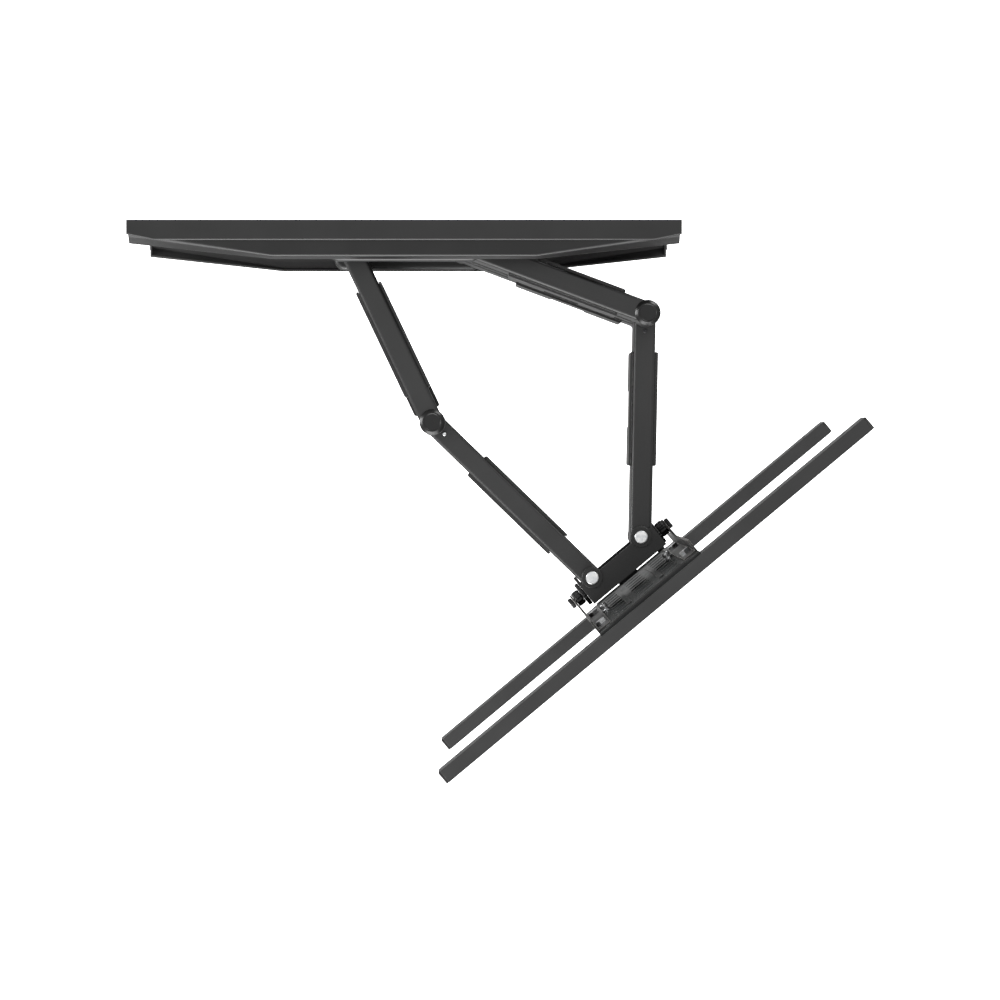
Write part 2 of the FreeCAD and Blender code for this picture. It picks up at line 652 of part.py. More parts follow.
def make_elbow_hardware(hand):
    """The elbow bolt with its nut, washers and caps."""
    centre = ("0", "0")
    seat = f"({STACK_TOP} - counterbore_depth)"
    head_level = (seat, f"{seat} + nut_height")
    nut_level = (minus(head_level[1]), minus(seat))
    shank = rod(f"elbow_shank_{hand}", "z", "pin_radius", centre, (nut_level[0], seat))
    bolt_head = hexagon(f"elbow_head_{hand}", "z", "nut_circle", centre, head_level)
    bolt = fuse(f"elbow_bolt_{hand}", [shank, bolt_head])
    finish(f"elbow_bolt_{hand}", on_centre(bolt, elbows[hand]))
    solid = hexagon(f"elbow_nut_solid_{hand}", "z", "nut_circle", centre, nut_level)
    bore = rod(f"elbow_nut_bore_{hand}", "z", TURNS_ON_PIN, centre, nut_level)
    nut = cut(f"elbow_nut_{hand}", solid, bore)
    finish(f"elbow_nut_{hand}", on_centre(nut, elbows[hand]))
    above = (f"{TUBE_TOP} + face_gap", f"{FORK_UNDER} - face_gap")
    below = (minus(above[1]), minus(above[0]))
    washers = [
        ring(f"elbow_washer_{layer}_{hand}", "z", "washer_radius", TURNS_ON_PIN, centre, level)
        for layer, level in (("top", above), ("bottom", below))
    ]
    group = gather(f"elbow_washers_{hand}", washers)
    finish(f"elbow_washers_{hand}", on_centre(group, elbows[hand]))
    for layer, sign in (("top", 1), ("bottom", -1)):
        make_elbow_cap(f"elbow_cap_{hand}_{layer}", elbows[hand], sign)


def make_elbow_cap(name, centre, sign):
    """A round cap with a sloped rim and a plug in the hub's recess."""
    disc = doc.addObject("Part::Cone", f"{name}_disc")
    disc.setExpression("Radius1", formula("elbow_hub"))
    disc.setExpression("Radius2", formula("elbow_cap_flat"))
    disc.setExpression("Height", formula("elbow_cap_height"))
    disc.setExpression("Placement.Base.z", formula(STACK_TOP))
    plug_level = (f"{STACK_TOP} - elbow_cap_plug", STACK_TOP)
    plug = rod(f"{name}_plug", "z", "counterbore_radius - face_gap", ("0", "0"), plug_level)
    cap = fuse(f"{name}_cap", [disc, plug])
    upright = Rotation() if sign > 0 else Rotation(Vector(1, 0, 0), 180)
    finish(name, cap, Placement(centre, upright))


def make_forearm(hand):
    """A single tube between the two upper tubes and in the head's fork."""
    place = arm_place(elbows[hand], wrists[hand])
    name = f"forearm_{hand}"
    make_tube(name, "forearm_length", "elbow_hub", "head_hub", "bush_radius", "bush_radius", place)
    make_cover(f"cable_cover_{hand}_forearm", f"cover_{hand}_forearm", place)
    elbow_bush = make_bush(f"elbow_bush_{hand}", elbows[hand], TURNS_ON_PIN, 0)
    finish(f"elbow_bush_{hand}", elbow_bush)
    wrist_bore = "pin_radius + loop_gap" if hand == "right" else TURNS_ON_PIN
    finish(f"head_bush_{hand}", make_bush(f"head_bush_{hand}", wrists[hand], wrist_bore, 0))
    above = (TUBE_TOP, f"{TUBE_TOP} + mark_height")
    screw = rod(f"forearm_screw_head_{hand}", "z", "mark_radius", ("mark_reach", "0"), above)
    finish(f"forearm_screw_{hand}", gather(f"forearm_screw_{hand}", [screw]), place)


# Head and tilting frame, in the head's own frame: +X from the left pivot to
# the right one, and -Y towards the screen.

def make_head_bracket():
    """A fork for the two forearms, with ears below it for the tilt bolts."""
    piece = Piece("head_bracket")
    side = both_ways(HEAD_SIDE)
    eye_low = "-tilt_drop - tilt_eye"
    front = ("-head_front", "head_sheet - head_front")
    piece.block("web", side, front, (eye_low, FORK_TOP))
    for layer, level in (("top", (FORK_UNDER, FORK_TOP)), ("bottom", (minus(FORK_TOP), minus(FORK_UNDER)))):
        piece.block(f"{layer}_plate", side, ("-head_front", "head_rear"), level)
        for hand, sign in SIDES:
            pivot = (f"{sign} * head_spacing / 2", "0")
            piece.round(f"{layer}_ear_{hand}", "z", "head_hub", pivot, level)
            piece.round(f"{layer}_bore_{hand}", "z", TURNS_ON_PIN, pivot, level, cut=True)
    for hand, sign in SIDES:
        thickness = at_side(sign, f"{HEAD_SIDE} - head_sheet", HEAD_SIDE)
        below = minus(FORK_UNDER)
        piece.block(f"cheek_{hand}", thickness, ("-head_front", "-tilt_reach"), (eye_low, below))
        behind = ("-tilt_reach", "cheek_rear")
        piece.block(f"cheek_rear_{hand}", thickness, behind, ("-tilt_drop", below))
        eye = ("-tilt_reach", "-tilt_drop")
        piece.round(f"eye_{hand}", "x", "tilt_eye", eye, thickness)
        piece.round(f"tilt_bore_{hand}", "x", TURNS_ON_TILT, eye, thickness, cut=True)
    piece.stand(head_place)


def make_head_rivets():
    """Bright rivets that hold the forearms in the fork, with their washers."""
    shank_level = both_ways(RIVET_SEAT)
    outer_washers = []
    inner_washers = []
    for hand, sign in SIDES:
        pivot = (f"{sign} * head_spacing / 2", "0")
        parts = [rod(f"rivet_shank_{hand}", "z", "pin_radius", pivot, shank_level)]
        for layer, turned in (("top", False), ("bottom", True)):
            cap = (RIVET_SEAT, f"{RIVET_SEAT} + rivet_height")
            outside = (FORK_TOP, RIVET_SEAT)
            inside = (f"{TUBE_TOP} + face_gap", f"{FORK_UNDER} - face_gap")
            if turned:
                cap, outside, inside = ((minus(high), minus(low)) for low, high in (cap, outside, inside))
            parts.append(rod(f"rivet_{layer}_{hand}", "z", "rivet_head", pivot, cap))
            name = f"washer_{layer}_{hand}"
            outer_washers.append(
                ring(f"outer_{name}", "z", "head_washer_radius", TURNS_ON_PIN, pivot, outside)
            )
            inner_washers.append(
                ring(f"inner_{name}", "z", "head_washer_radius", TURNS_ON_PIN, pivot, inside)
            )
        finish(f"head_rivet_{hand}", fuse(f"head_rivet_{hand}", parts), head_place)
    finish("head_washers", gather("head_washers", outer_washers), head_place)
    finish("fork_washers", gather("fork_washers", inner_washers), head_place)


def make_buffers():
    """A wide rubber buffer and a round bumper on the front of the head bracket."""
    piece = Piece("head_buffer")
    x = ("-buffer_shift - buffer_width / 2", "buffer_width / 2 - buffer_shift")
    piece.block("pad", x, ("-head_front - buffer_depth", "-head_front"), both_ways("buffer_height / 2"))
    piece.soften(
        "front_edges",
        "buffer_corner",
        lambda edge: edge.BoundBox.YMax < TOUCH - dim("head_front") - dim("buffer_depth"),
    )
    piece.stand(head_place)
    bumper = Piece("head_bumper")
    centre = ("bumper_shift", "-bumper_drop")
    bumper.round("pad", "y", "bumper_radius", centre, ("-head_front - bumper_depth", "-head_front"))
    bumper.soften(
        "front_edge",
        "bumper_corner",
        lambda edge: edge.BoundBox.YMax < TOUCH - dim("head_front") - dim("bumper_depth"),
    )
    bumper.stand(head_place)


def make_tilt_hardware():
    """Bolts, friction washers, barrels and knobs on the tilt axis."""
    axis = ("-tilt_reach", "-tilt_drop")
    washers = []
    barrels = []
    for hand, sign in SIDES:
        inner = f"{HEAD_SIDE} - head_sheet"
        knob_end = f"{KNOB_START} + knob_length"
        bolt_end = f"{knob_end} - knob_wall - face_gap"
        shank = rod(f"tilt_shank_{hand}", "x", "tilt_bolt", axis, at_side(sign, inner, bolt_end))
        bolt_head = rod(
            f"tilt_head_{hand}", "x", "tilt_bolt_head", axis, at_side(sign, f"{inner} - tilt_bolt_cap", inner)
        )
        finish(f"tilt_bolt_{hand}", fuse(f"tilt_bolt_{hand}", [shank, bolt_head]), head_place)
        pressed = at_side(sign, f"{HEAD_SIDE} + face_gap", f"{HEAD_SIDE} + face_gap + friction_sheet")
        washers.append(
            ring(f"friction_washer_{hand}", "x", "friction_radius", TURNS_ON_TILT, axis, pressed)
        )
        spaced = at_side(sign, BARREL_START, f"{BARREL_START} + barrel_length")
        barrels.append(ring(f"barrel_{hand}", "x", "barrel_radius", TURNS_ON_TILT, axis, spaced))
        make_knob(hand, sign, axis, knob_end)
    finish("friction_washers", gather("friction_washers", washers), head_place)
    finish("tilt_barrels", gather("tilt_barrels", barrels), head_place)


def make_knob(hand, sign, axis, knob_end):
    """A small lobed knob on the end of the tilt bolt."""
    whole = at_side(sign, KNOB_START, knob_end)
    pieces = [rod(f"knob_core_{hand}", "x", "knob_core", axis, whole)]
    for lobe in range(LOBES):
        turn = 360 / LOBES * lobe
        centre = (
            f"knob_core * cos({turn} deg) - tilt_reach",
            f"knob_core * sin({turn} deg) - tilt_drop",
        )
        pieces.append(rod(f"knob_lobe_{lobe}_{hand}", "x", "knob_lobe", centre, whole))
    threaded = at_side(sign, KNOB_START, f"{knob_end} - knob_wall")
    bore = rod(f"knob_bore_{hand}", "x", TURNS_ON_TILT, axis, threaded)
    knob = cut(f"tilt_knob_{hand}", fuse(f"knob_solid_{hand}", pieces), bore)
    finish(f"tilt_knob_{hand}", knob, head_place)


def make_tilt_brackets():
    """Folded brackets on the screen plate, with tall flanges and ears on the tilt bolts."""
    axis = ("-tilt_reach", "-tilt_drop")
    outline = (
        (PLATE_BACK, "-leg_drop"),
        ("flange_lip - plate_reach", "-leg_drop"),
        ("flange_lip - plate_reach", "-tilt_drop - frame_eye - ear_slope"),
        ("-tilt_reach", "-tilt_drop - frame_eye"),
        ("-tilt_reach", "frame_eye - tilt_drop"),
        ("flange_lip - plate_reach", "frame_eye - tilt_drop + ear_slope"),
        ("flange_lip - plate_reach", "leg_top"),
        (PLATE_BACK, "leg_top"),
    )
    for hand, sign in SIDES:
        piece = Piece(f"tilt_bracket_{hand}")
        leg = at_side(sign, f"{EYE_OUTSIDE} - leg_width", EYE_OUTSIDE)
        leg_depth = (PLATE_BACK, "ear_sheet - plate_reach")
        piece.block("leg", leg, leg_depth, ("-leg_drop", "leg_top"))
        ear = at_side(sign, EYE_INSIDE, EYE_OUTSIDE)
        piece.plate("ear", outline, *ear, plane="YZ_Plane")
        piece.round("eye", "x", "frame_eye", axis, ear)
        piece.round("tilt_bore", "x", TURNS_ON_TILT, axis, ear, cut=True)
        for level_name, level in (("high", "leg_bolt_high"), ("low", "-leg_bolt_low")):
            centre = (f"{sign} * ({EYE_OUTSIDE} - leg_bolt_inset)", level)
            piece.round(f"bolt_hole_{level_name}", "y", "frame_bolt + running_gap", centre, leg_depth, cut=True)
        piece.stand(head_place)


def make_screen_plate():
    """The plate between the tilt brackets and the rails, with pressed ribs."""
    piece = Piece("screen_plate")
    depth = (PLATE_FRONT, PLATE_BACK)
    piece.block("plate", both_ways(EYE_OUTSIDE), depth, both_ways("screen_plate_height / 2"))
    for hand, sign in SIDES:
        x = at_side(sign, "rib_spacing / 2 - rib_width / 2", "rib_spacing / 2 + rib_width / 2")
        piece.block(f"rib_{hand}", x, (PLATE_BACK, "rib_rise - plate_reach"), both_ways("rib_length / 2"))
        for level_name, level in (("high", "leg_bolt_high"), ("low", "-leg_bolt_low")):
            centre = (f"{sign} * ({EYE_OUTSIDE} - leg_bolt_inset)", level)
            hole = f"bracket_hole_{level_name}_{hand}"
            piece.round(hole, "y", "frame_bolt + running_gap", centre, depth, cut=True)
        for level_name, level in (("high", "rail_spacing / 2"), ("low", "-rail_spacing / 2")):
            centre = (f"{sign} * rail_bolt_spacing / 2", level)
            hole = f"rail_hole_{level_name}_{hand}"
            piece.round(hole, "y", "frame_bolt + running_gap", centre, depth, cut=True)
    piece.stand(head_place)


def make_stops():
    """Round stops on the screen plate, in front of the head bracket."""
    depth = (PLATE_BACK, "stop_depth - plate_reach")
    stops = [
        rod(f"tilt_stop_{hand}", "y", "stop_radius", (f"{sign} * stop_shift", "-bumper_drop"), depth)
        for hand, sign in SIDES
    ]
    finish("tilt_stops", gather("tilt_stops", stops), head_place)


def make_rails():
    """Two closed tubes across the screen plate, drilled for the screen's screws."""
    for name, level in (("rail_top", "rail_spacing / 2"), ("rail_bottom", "-rail_spacing / 2")):
        piece = Piece(name)
        depth = (RAIL_FRONT, PLATE_FRONT)
        tube_end = "rail_length / 2 - end_cap"
        height = (f"{level} - rail_height / 2", f"{level} + rail_height / 2")
        piece.block("tube", both_ways(tube_end), depth, height)
        inner_depth = (f"{RAIL_FRONT} + rail_wall", f"{PLATE_FRONT} - rail_wall")
        inner_height = (f"{height[0]} + rail_wall", f"{height[1]} - rail_wall")
        piece.block("hollow", both_ways("rail_length"), inner_depth, inner_height, cut=True)
        for hand, sign in SIDES:
            for number in (1, 2, 3):
                centre = (f"{sign} * {number} * hole_pitch", level)
                piece.round(f"screw_hole_{number}_{hand}", "y", "screw_hole", centre, depth, cut=True)
            centre = (f"{sign} * rail_bolt_spacing / 2", level)
            back_wall = (inner_depth[1], PLATE_FRONT)
            piece.round(f"bolt_hole_{hand}", "y", "frame_bolt + running_gap", centre, back_wall, cut=True)
        piece.stand(head_place)


def rounded_cap(name, sign, x, y, z):
    """A block whose outer face has rounded edges."""
    solid = block(f"{name}_block", x, y, z)
    doc.recompute()
    outer = sign * dim("rail_length") / 2
    chosen = [
        (number, dim("cap_round"), dim("cap_round"))
        for number, edge in enumerate(solid.Shape.Edges, start=1)
        if edge.BoundBox.XLength < TOUCH and abs(edge.CenterOfMass.x - outer) < TOUCH
    ]
    cap = doc.addObject("Part::Fillet", name)
    cap.Base = solid
    cap.Edges = chosen
    return cap


def make_end_caps():
    """Plastic caps that close the four ends of the rails."""
    caps = []
    for layer, level in (("top", "rail_spacing / 2"), ("bottom", "-rail_spacing / 2")):
        for hand, sign in SIDES:
            outside = at_side(sign, "rail_length / 2 - end_cap", "rail_length / 2")
            inside = at_side(sign, "rail_length / 2 - end_cap - end_plug", "rail_length / 2 - end_cap")
            height = (f"{level} - rail_height / 2", f"{level} + rail_height / 2")
            wall = "rail_wall + face_gap"
            cap = rounded_cap(f"cap_{layer}_{hand}", sign, outside, (RAIL_FRONT, PLATE_FRONT), height)
            plug = block(
                f"plug_{layer}_{hand}",
                inside,
                (f"{RAIL_FRONT} + {wall}", f"{PLATE_FRONT} - ({wall})"),
                (f"{height[0]} + {wall}", f"{height[1]} - ({wall})"),
            )
            caps.append(fuse(f"end_cap_{layer}_{hand}", [cap, plug]))
    finish("rail_end_caps", gather("rail_end_caps", caps), head_place)


def bracket_bolt(name, centre, seat, clamp):
    """A hexagon bolt whose head sits towards the wall, with its nut."""
    bolt_head = hexagon(f"{name}_head", "y", "frame_nut_circle", centre, (seat, f"{seat} + frame_nut_height"))
    end = f"{clamp} - frame_nut_height"
    shank = rod(f"{name}_shank", "y", "frame_bolt", centre, (end, seat))
    nut = hexagon(f"{name}_nut", "y", "frame_nut_circle", centre, (end, clamp))
    return fuse(name, [bolt_head, shank, nut])


def rail_bolt(name, centre, seat, clamp):
    """A bolt with a low round head towards the wall, screwed into the rail."""
    bolt_head = rod(f"{name}_head", "y", "rail_bolt_head", centre, (seat, f"{seat} + rail_bolt_cap"))
    end = f"{clamp} - frame_nut_height"
    shank = rod(f"{name}_shank", "y", "frame_bolt", centre, (end, seat))
    return fuse(name, [bolt_head, shank])


def make_frame_bolts():
    """Bright bolts of the tilt brackets and dark ones of the rails."""
    bracket_bolts = []
    rail_bolts = []
    for hand, sign in SIDES:
        for level_name, level in (("high", "leg_bolt_high"), ("low", "-leg_bolt_low")):
            centre = (f"{sign} * ({EYE_OUTSIDE} - leg_bolt_inset)", level)
            name = f"bracket_bolt_{level_name}_{hand}"
            bracket_bolts.append(bracket_bolt(name, centre, "(ear_sheet - plate_reach)", PLATE_FRONT))
        for level_name, level in (("high", "rail_spacing / 2"), ("low", "-rail_spacing / 2")):
            centre = (f"{sign} * rail_bolt_spacing / 2", level)
            name = f"rail_bolt_{level_name}_{hand}"
            inside = f"({PLATE_FRONT} - rail_wall)"
            rail_bolts.append(rail_bolt(name, centre, f"({PLATE_BACK})", inside))
    finish("tilt_bracket_bolts", gather("tilt_bracket_bolts", bracket_bolts), head_place)
    finish("rail_bolts", gather("rail_bolts", rail_bolts), head_place)


def check_and_write():
    """Stop on any failed object, then write each sub-part."""
    doc.recompute()
    failed = [item.Label for item in doc.Objects if set(item.State) & {"Invalid", "Error"}]
    failed += [item.Label for item in sub_parts if item.Shape.isNull() or not item.Shape.isValid()]
    if failed:
        raise RuntimeError(f"these did not build: {failed}")
    os.makedirs("parts", exist_ok=True)
    for item in sub_parts:
        item.Shape.exportStep(f"parts/{item.Label}.step")
        box = item.Shape.BoundBox
        size = (round(box.XLength, 1), round(box.YLength, 1), round(box.ZLength, 1))
        print(f"{item.Label}: {len(item.Shape.Solids)} solid, size {size}")


make_wall_plate()
make_stiffeners()
make_shoulder_bracket()
make_shoulder_hardware()
for side_name, _ in SIDES:
    make_upper_arm(side_name)
    make_forearm(side_name)
make_head_bracket()
make_head_rivets()
make_buffers()
make_tilt_hardware()
make_tilt_brackets()
make_screen_plate()
make_stops()
make_rails()
make_end_caps()
make_frame_bolts()
check_and_write()
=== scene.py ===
"""Looks of an articulating wall mount for a television.

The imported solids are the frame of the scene. This script gives every solid its finish,
puts finer meshes in place of the turned, pressed and moulded small parts, and sets up a
plain studio. Lengths are metres in the row frame unless a name says otherwise.
"""

import json
import logging
import math
from abc import ABC, abstractmethod
from dataclasses import dataclass
from enum import Enum
from typing import Any, Iterable, Sequence

import bmesh
import bpy
from mathutils import Matrix, Vector


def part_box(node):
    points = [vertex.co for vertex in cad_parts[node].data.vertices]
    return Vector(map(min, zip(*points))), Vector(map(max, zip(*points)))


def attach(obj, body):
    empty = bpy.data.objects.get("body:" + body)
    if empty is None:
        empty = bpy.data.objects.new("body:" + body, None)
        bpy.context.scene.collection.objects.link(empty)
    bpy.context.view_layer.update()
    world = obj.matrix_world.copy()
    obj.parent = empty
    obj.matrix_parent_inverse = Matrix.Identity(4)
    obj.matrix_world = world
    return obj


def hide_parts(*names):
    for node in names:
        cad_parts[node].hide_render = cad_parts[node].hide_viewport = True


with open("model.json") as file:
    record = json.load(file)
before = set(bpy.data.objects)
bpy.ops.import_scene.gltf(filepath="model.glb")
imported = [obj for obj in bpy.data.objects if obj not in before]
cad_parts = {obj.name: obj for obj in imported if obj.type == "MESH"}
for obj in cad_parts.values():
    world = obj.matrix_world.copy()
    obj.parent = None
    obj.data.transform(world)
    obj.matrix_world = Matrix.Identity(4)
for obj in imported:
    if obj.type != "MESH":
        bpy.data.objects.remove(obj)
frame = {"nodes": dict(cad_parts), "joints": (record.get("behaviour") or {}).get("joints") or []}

log = logging.getLogger("wall_mount")

MM = 0.001
UP = Vector((0.0, 0.0, 1.0))
ALONG_X = Vector((1.0, 0.0, 0.0))
ON_AXIS = 1e-9
SAME_POINT = 1e-7

Colour = tuple[float, float, float]
Mesh = bmesh.types.BMesh
Profile = Sequence[tuple[float, ...]]


class Hand(Enum):
    """The two sides of the mount, as seen from the room."""

    LEFT = "left"
    RIGHT = "right"

    @property
    def sign(self) -> int:
        """-1 on the left and 1 on the right."""
        return -1 if self is Hand.LEFT else 1


class Layer(Enum):
    """The upper and the lower one of two stacked pieces."""

    TOP = "top"
    BOTTOM = "bottom"

    @property
    def sign(self) -> int:
        """1 above and -1 below."""
        return 1 if self is Layer.TOP else -1


@dataclass(frozen=True)
class Station:
    """A place with axes of its own, in which a piece is drawn before it is set down.

    Attributes:
        matrix: Takes the station's own coordinates to the row frame.
    """

    matrix: Matrix

    @classmethod
    def on_axes(cls, origin: Vector, x: Vector, z: Vector) -> "Station":
        """Stand at a point with two given directions.

        Args:
            origin: The station's zero, in the row frame.
            x: Direction of its x axis.
            z: Direction of its z axis, square to x.

        Returns:
            The station.
        """
        x = x.normalized()
        z = z.normalized()
        matrix = Matrix((x, z.cross(x), z)).transposed().to_4x4()
        matrix.translation = origin
        return cls(matrix)

    def aimed(self, at: Sequence[float], way: Sequence[float]) -> "Station":
        """A station at a local point whose z axis points along a local direction.

        Args:
            at: The point, in this station's coordinates.
            way: The direction, in this station's coordinates.

        Returns:
            The new station.
        """
        z = Vector(way).normalized()
        nearly_upright = abs(z.z) >= 0.9
        side = ALONG_X if nearly_upright else UP
        local = Station.on_axes(Vector(at), side.cross(z).normalized(), z)
        return Station(self.matrix @ local.matrix)

    def place(self, x: float, y: float, z: float) -> Vector:
        """A local point in the row frame."""
        return self.matrix @ Vector((x, y, z))

    def turn(self, way: Sequence[float]) -> tuple[float, float, float]:
        """Euler angles that turn the row frame's z axis to a local direction."""
        return tuple(UP.rotation_difference(self.matrix.to_3x3() @ Vector(way)).to_euler())

    def points(self, node: str) -> list[Vector]:
        """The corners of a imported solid's mesh, in this station's coordinates."""
        back = self.matrix.inverted()
        return [back @ vertex.co for vertex in frame["nodes"][node].data.vertices]

    def measure(self, node: str) -> tuple[Vector, Vector]:
        """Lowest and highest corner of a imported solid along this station's axes.

        Args:
            node: Name of the solid.

        Returns:
            The two corners, in this station's coordinates.
        """
        points = self.points(node)
        low = Vector(min(point[axis] for point in points) for axis in range(3))
        high = Vector(max(point[axis] for point in points) for axis in range(3))
        return low, high

    def right_span(self, node: str) -> tuple[float, float]:
        """Least and greatest x of the part of a solid that lies to the right."""
        outer = [point.x for point in self.points(node) if point.x > 0]
        return min(outer), max(outer)


class Plan:
    """Pivots and stations of the mount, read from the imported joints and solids."""

    def __init__(self) -> None:
        """Read the joints once."""
        self._joints: dict[str, dict[str, Any]] = {
            joint["name"]: joint for joint in frame["joints"]
        }

    def pivot(self, joint: str) -> Vector:
        """The point that a joint turns about."""
        return Vector(self._joints[joint]["pos_m"])

    def shoulder(self, hand: Hand) -> Vector:
        """The pivot between the wall side and an upper arm."""
        return self.pivot(f"{hand.value}_shoulder")

    def elbow(self, hand: Hand) -> Vector:
        """The pivot between an upper arm and its forearm."""
        return self.pivot(f"{hand.value}_elbow")

    def wrist(self, hand: Hand) -> Vector:
        """The middle of the rivet between a forearm and the head."""
        low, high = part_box(f"head_rivet_{hand.value}")
        return (low + high) / 2

    def upper(self, hand: Hand) -> Station:
        """At the shoulder, with x towards the elbow."""
        start = self.shoulder(hand)
        return Station.on_axes(start, self.elbow(hand) - start, UP)

    def lower(self, hand: Hand) -> Station:
        """At the elbow, with x towards the head."""
        start = self.elbow(hand)
        return Station.on_axes(start, self.wrist(hand) - start, UP)

    @property
    def head(self) -> Station:
        """Between the two rivets, with x to the right one and -y to the screen."""
        left, right = self.wrist(Hand.LEFT), self.wrist(Hand.RIGHT)
        return Station.on_axes((left + right) / 2, right - left, UP)

    @property
    def tilt_axis(self) -> Vector:
        """A point of the tilt axis, in the head's coordinates."""
        return self.head.matrix.inverted() @ self.pivot("tilt")


class Graph:
    """A node tree that is put together by short calls."""

    def __init__(self, tree: bpy.types.NodeTree) -> None:
        """Work on one shader or geometry node tree."""
        self.tree = tree

    def add(
        self, kind: str, inputs: dict[Any, Any] | None = None, **settings: Any
    ) -> bpy.types.Node:
        """Add a node, set it up and link what flows into it.

        Args:
            kind: The node's type, such as ShaderNodeBump.
            inputs: Values or sockets, by the input's name or number.
            **settings: The node's own properties.

        Returns:
            The node.
        """
        node = self.tree.nodes.new(kind)
        for name, value in settings.items():
            setattr(node, name, value)
        for key, value in (inputs or {}).items():
            if isinstance(value, bpy.types.NodeSocket):
                self.tree.links.new(value, node.inputs[key])
            else:
                node.inputs[key].default_value = value
        return node

    def math(self, kind: str, first: Any, second: Any = 0.0) -> Any:
        """Combine two values by one operation."""
        return self.add("ShaderNodeMath", {0: first, 1: second}, operation=kind).outputs[0]

    def times(self, first: Any, second: Any) -> Any:
        """Multiply two values."""
        return self.math("MULTIPLY", first, second)

    def triple(self, x: Any = 0.0, y: Any = 0.0, z: Any = 0.0) -> Any:
        """Join three values into a vector."""
        return self.add("ShaderNodeCombineXYZ", {"X": x, "Y": y, "Z": z}).outputs["Vector"]

    def on_seeds(self, shape: Any, given: Any) -> Any:
        """Set a shape on every seed point, turned as the tree's Turn input says."""
        inputs = {"Points": given["Seeds"], "Instance": shape, "Rotation": given["Turn"]}
        return self.add("GeometryNodeInstanceOnPoints", inputs).outputs["Instances"]


class ShaderGraph(Graph):
    """A material's tree, with the patterns that the finishes share."""

    @property
    def place(self) -> bpy.types.NodeSocket:
        """Object coordinates."""
        return self.add("ShaderNodeTexCoord").outputs["Object"]

    def cloud(
        self, grain: float, detail: float = 2.0, stretch: Sequence[float] = (1.0, 1.0, 1.0)
    ) -> Any:
        """Soft noise from 0 to 1.

        Args:
            grain: Size of its spots.
            detail: Number of finer layers.
            stretch: How much finer it is along each axis.

        Returns:
            The noise's value socket.
        """
        mapping = self.add("ShaderNodeMapping", {"Vector": self.place, "Scale": tuple(stretch)})
        inputs = {"Vector": mapping.outputs["Vector"], "Scale": 1 / grain, "Detail": detail}
        return self.add("ShaderNodeTexNoise", inputs).outputs["Fac"]

    def pebbles(self, grain: float) -> Any:
        """Rounded cells of a given size, such as the grain of a mould."""
        inputs = {"Vector": self.place, "Scale": 1 / grain, "Smoothness": 0.6}
        return self.add("ShaderNodeTexVoronoi", inputs, feature="SMOOTH_F1").outputs["Distance"]

    def between(
        self, value: Any, low: float, high: float, start: float = 0.3, end: float = 0.7
    ) -> Any:
        """Bring a value that runs from start to end into the range from low to high."""
        inputs = {
            "Value": value, "From Min": start, "From Max": end, "To Min": low, "To Max": high
        }
        return self.add("ShaderNodeMapRange", inputs).outputs["Result"]

    def blend(self, factor: Any, first: Any, second: Any) -> Any:
        """Mix two colours, each a triple or a socket.

        Args:
            factor: Share of the second colour.
            first: Colour at 0.
            second: Colour at 1.

        Returns:
            The mixed colour's socket.
        """
        inputs = {0: factor}
        for number, colour in ((6, first), (7, second)):
            is_socket = isinstance(colour, bpy.types.NodeSocket)
            inputs[number] = colour if is_socket else (*colour, 1.0)
        return self.add("ShaderNodeMix", inputs, data_type="RGBA").outputs[2]

    def soft_edge(self, radius: float) -> Any:
        """Normal of the surface with its edges rounded."""
        return self.add("ShaderNodeBevel", {"Radius": radius}, samples=6).outputs["Normal"]

    def edge_mask(self, rounded_normal: Any) -> Any:
        """1 on the edges and 0 on the faces.

        Args:
            rounded_normal: The normal with rounded edges.

        Returns:
            The mask's socket.
        """
        flat = self.add("ShaderNodeNewGeometry").outputs["Normal"]
        pair = {0: rounded_normal, 1: flat}
        match = self.add("ShaderNodeVectorMath", pair, operation="DOT_PRODUCT").outputs["Value"]
        return self.between(match, 0.0, 1.0, start=0.995, end=0.90)

    def bump(self, height: Any, depth: float, normal: Any) -> Any:
        """Raise a pattern by a depth on a normal, and give the new normal."""
        inputs = {"Height": height, "Distance": depth, "Normal": normal}
        return self.add("ShaderNodeBump", inputs).outputs["Normal"]


@dataclass(frozen=True)
class Finish(ABC):
    """A surface finish that is made into a material once.

    Attributes:
        name: The material's name.
        slot: The record's material slot that it belongs to; not used.
        colour: Main colour.
        second: Colour of its clouds, or of its edges where hands have polished them.
        roughness: Least and greatest roughness.
        edge: Radius of its rounded edges.
        gloss: Strength of its shine.
    """

    name: str
    slot: str
    colour: Colour
    second: Colour
    roughness: tuple[float, float]
    edge: float
    gloss: float

    def material(self) -> bpy.types.Material:
        """Make the finish's material on first use.

        Returns:
            The material.
        """
        made = bpy.data.materials.get(self.name)
        if made is None:
            made = bpy.data.materials.new(self.name)
            made.use_nodes = True
            made.node_tree.nodes.clear()
            graph = ShaderGraph(made.node_tree)
            inputs = {"Specular IOR Level": self.gloss, **self.paint(graph)}
            shader = graph.add("ShaderNodeBsdfPrincipled", inputs)
            graph.add("ShaderNodeOutputMaterial", {"Surface": shader.outputs["BSDF"]})
        return made

    @abstractmethod
    def paint(self, graph: ShaderGraph) -> dict[str, Any]:
        """Draw the finish's patterns.

        Args:
            graph: The material's tree.

        Returns:
            What flows into the shader, by the names of its inputs.
        """


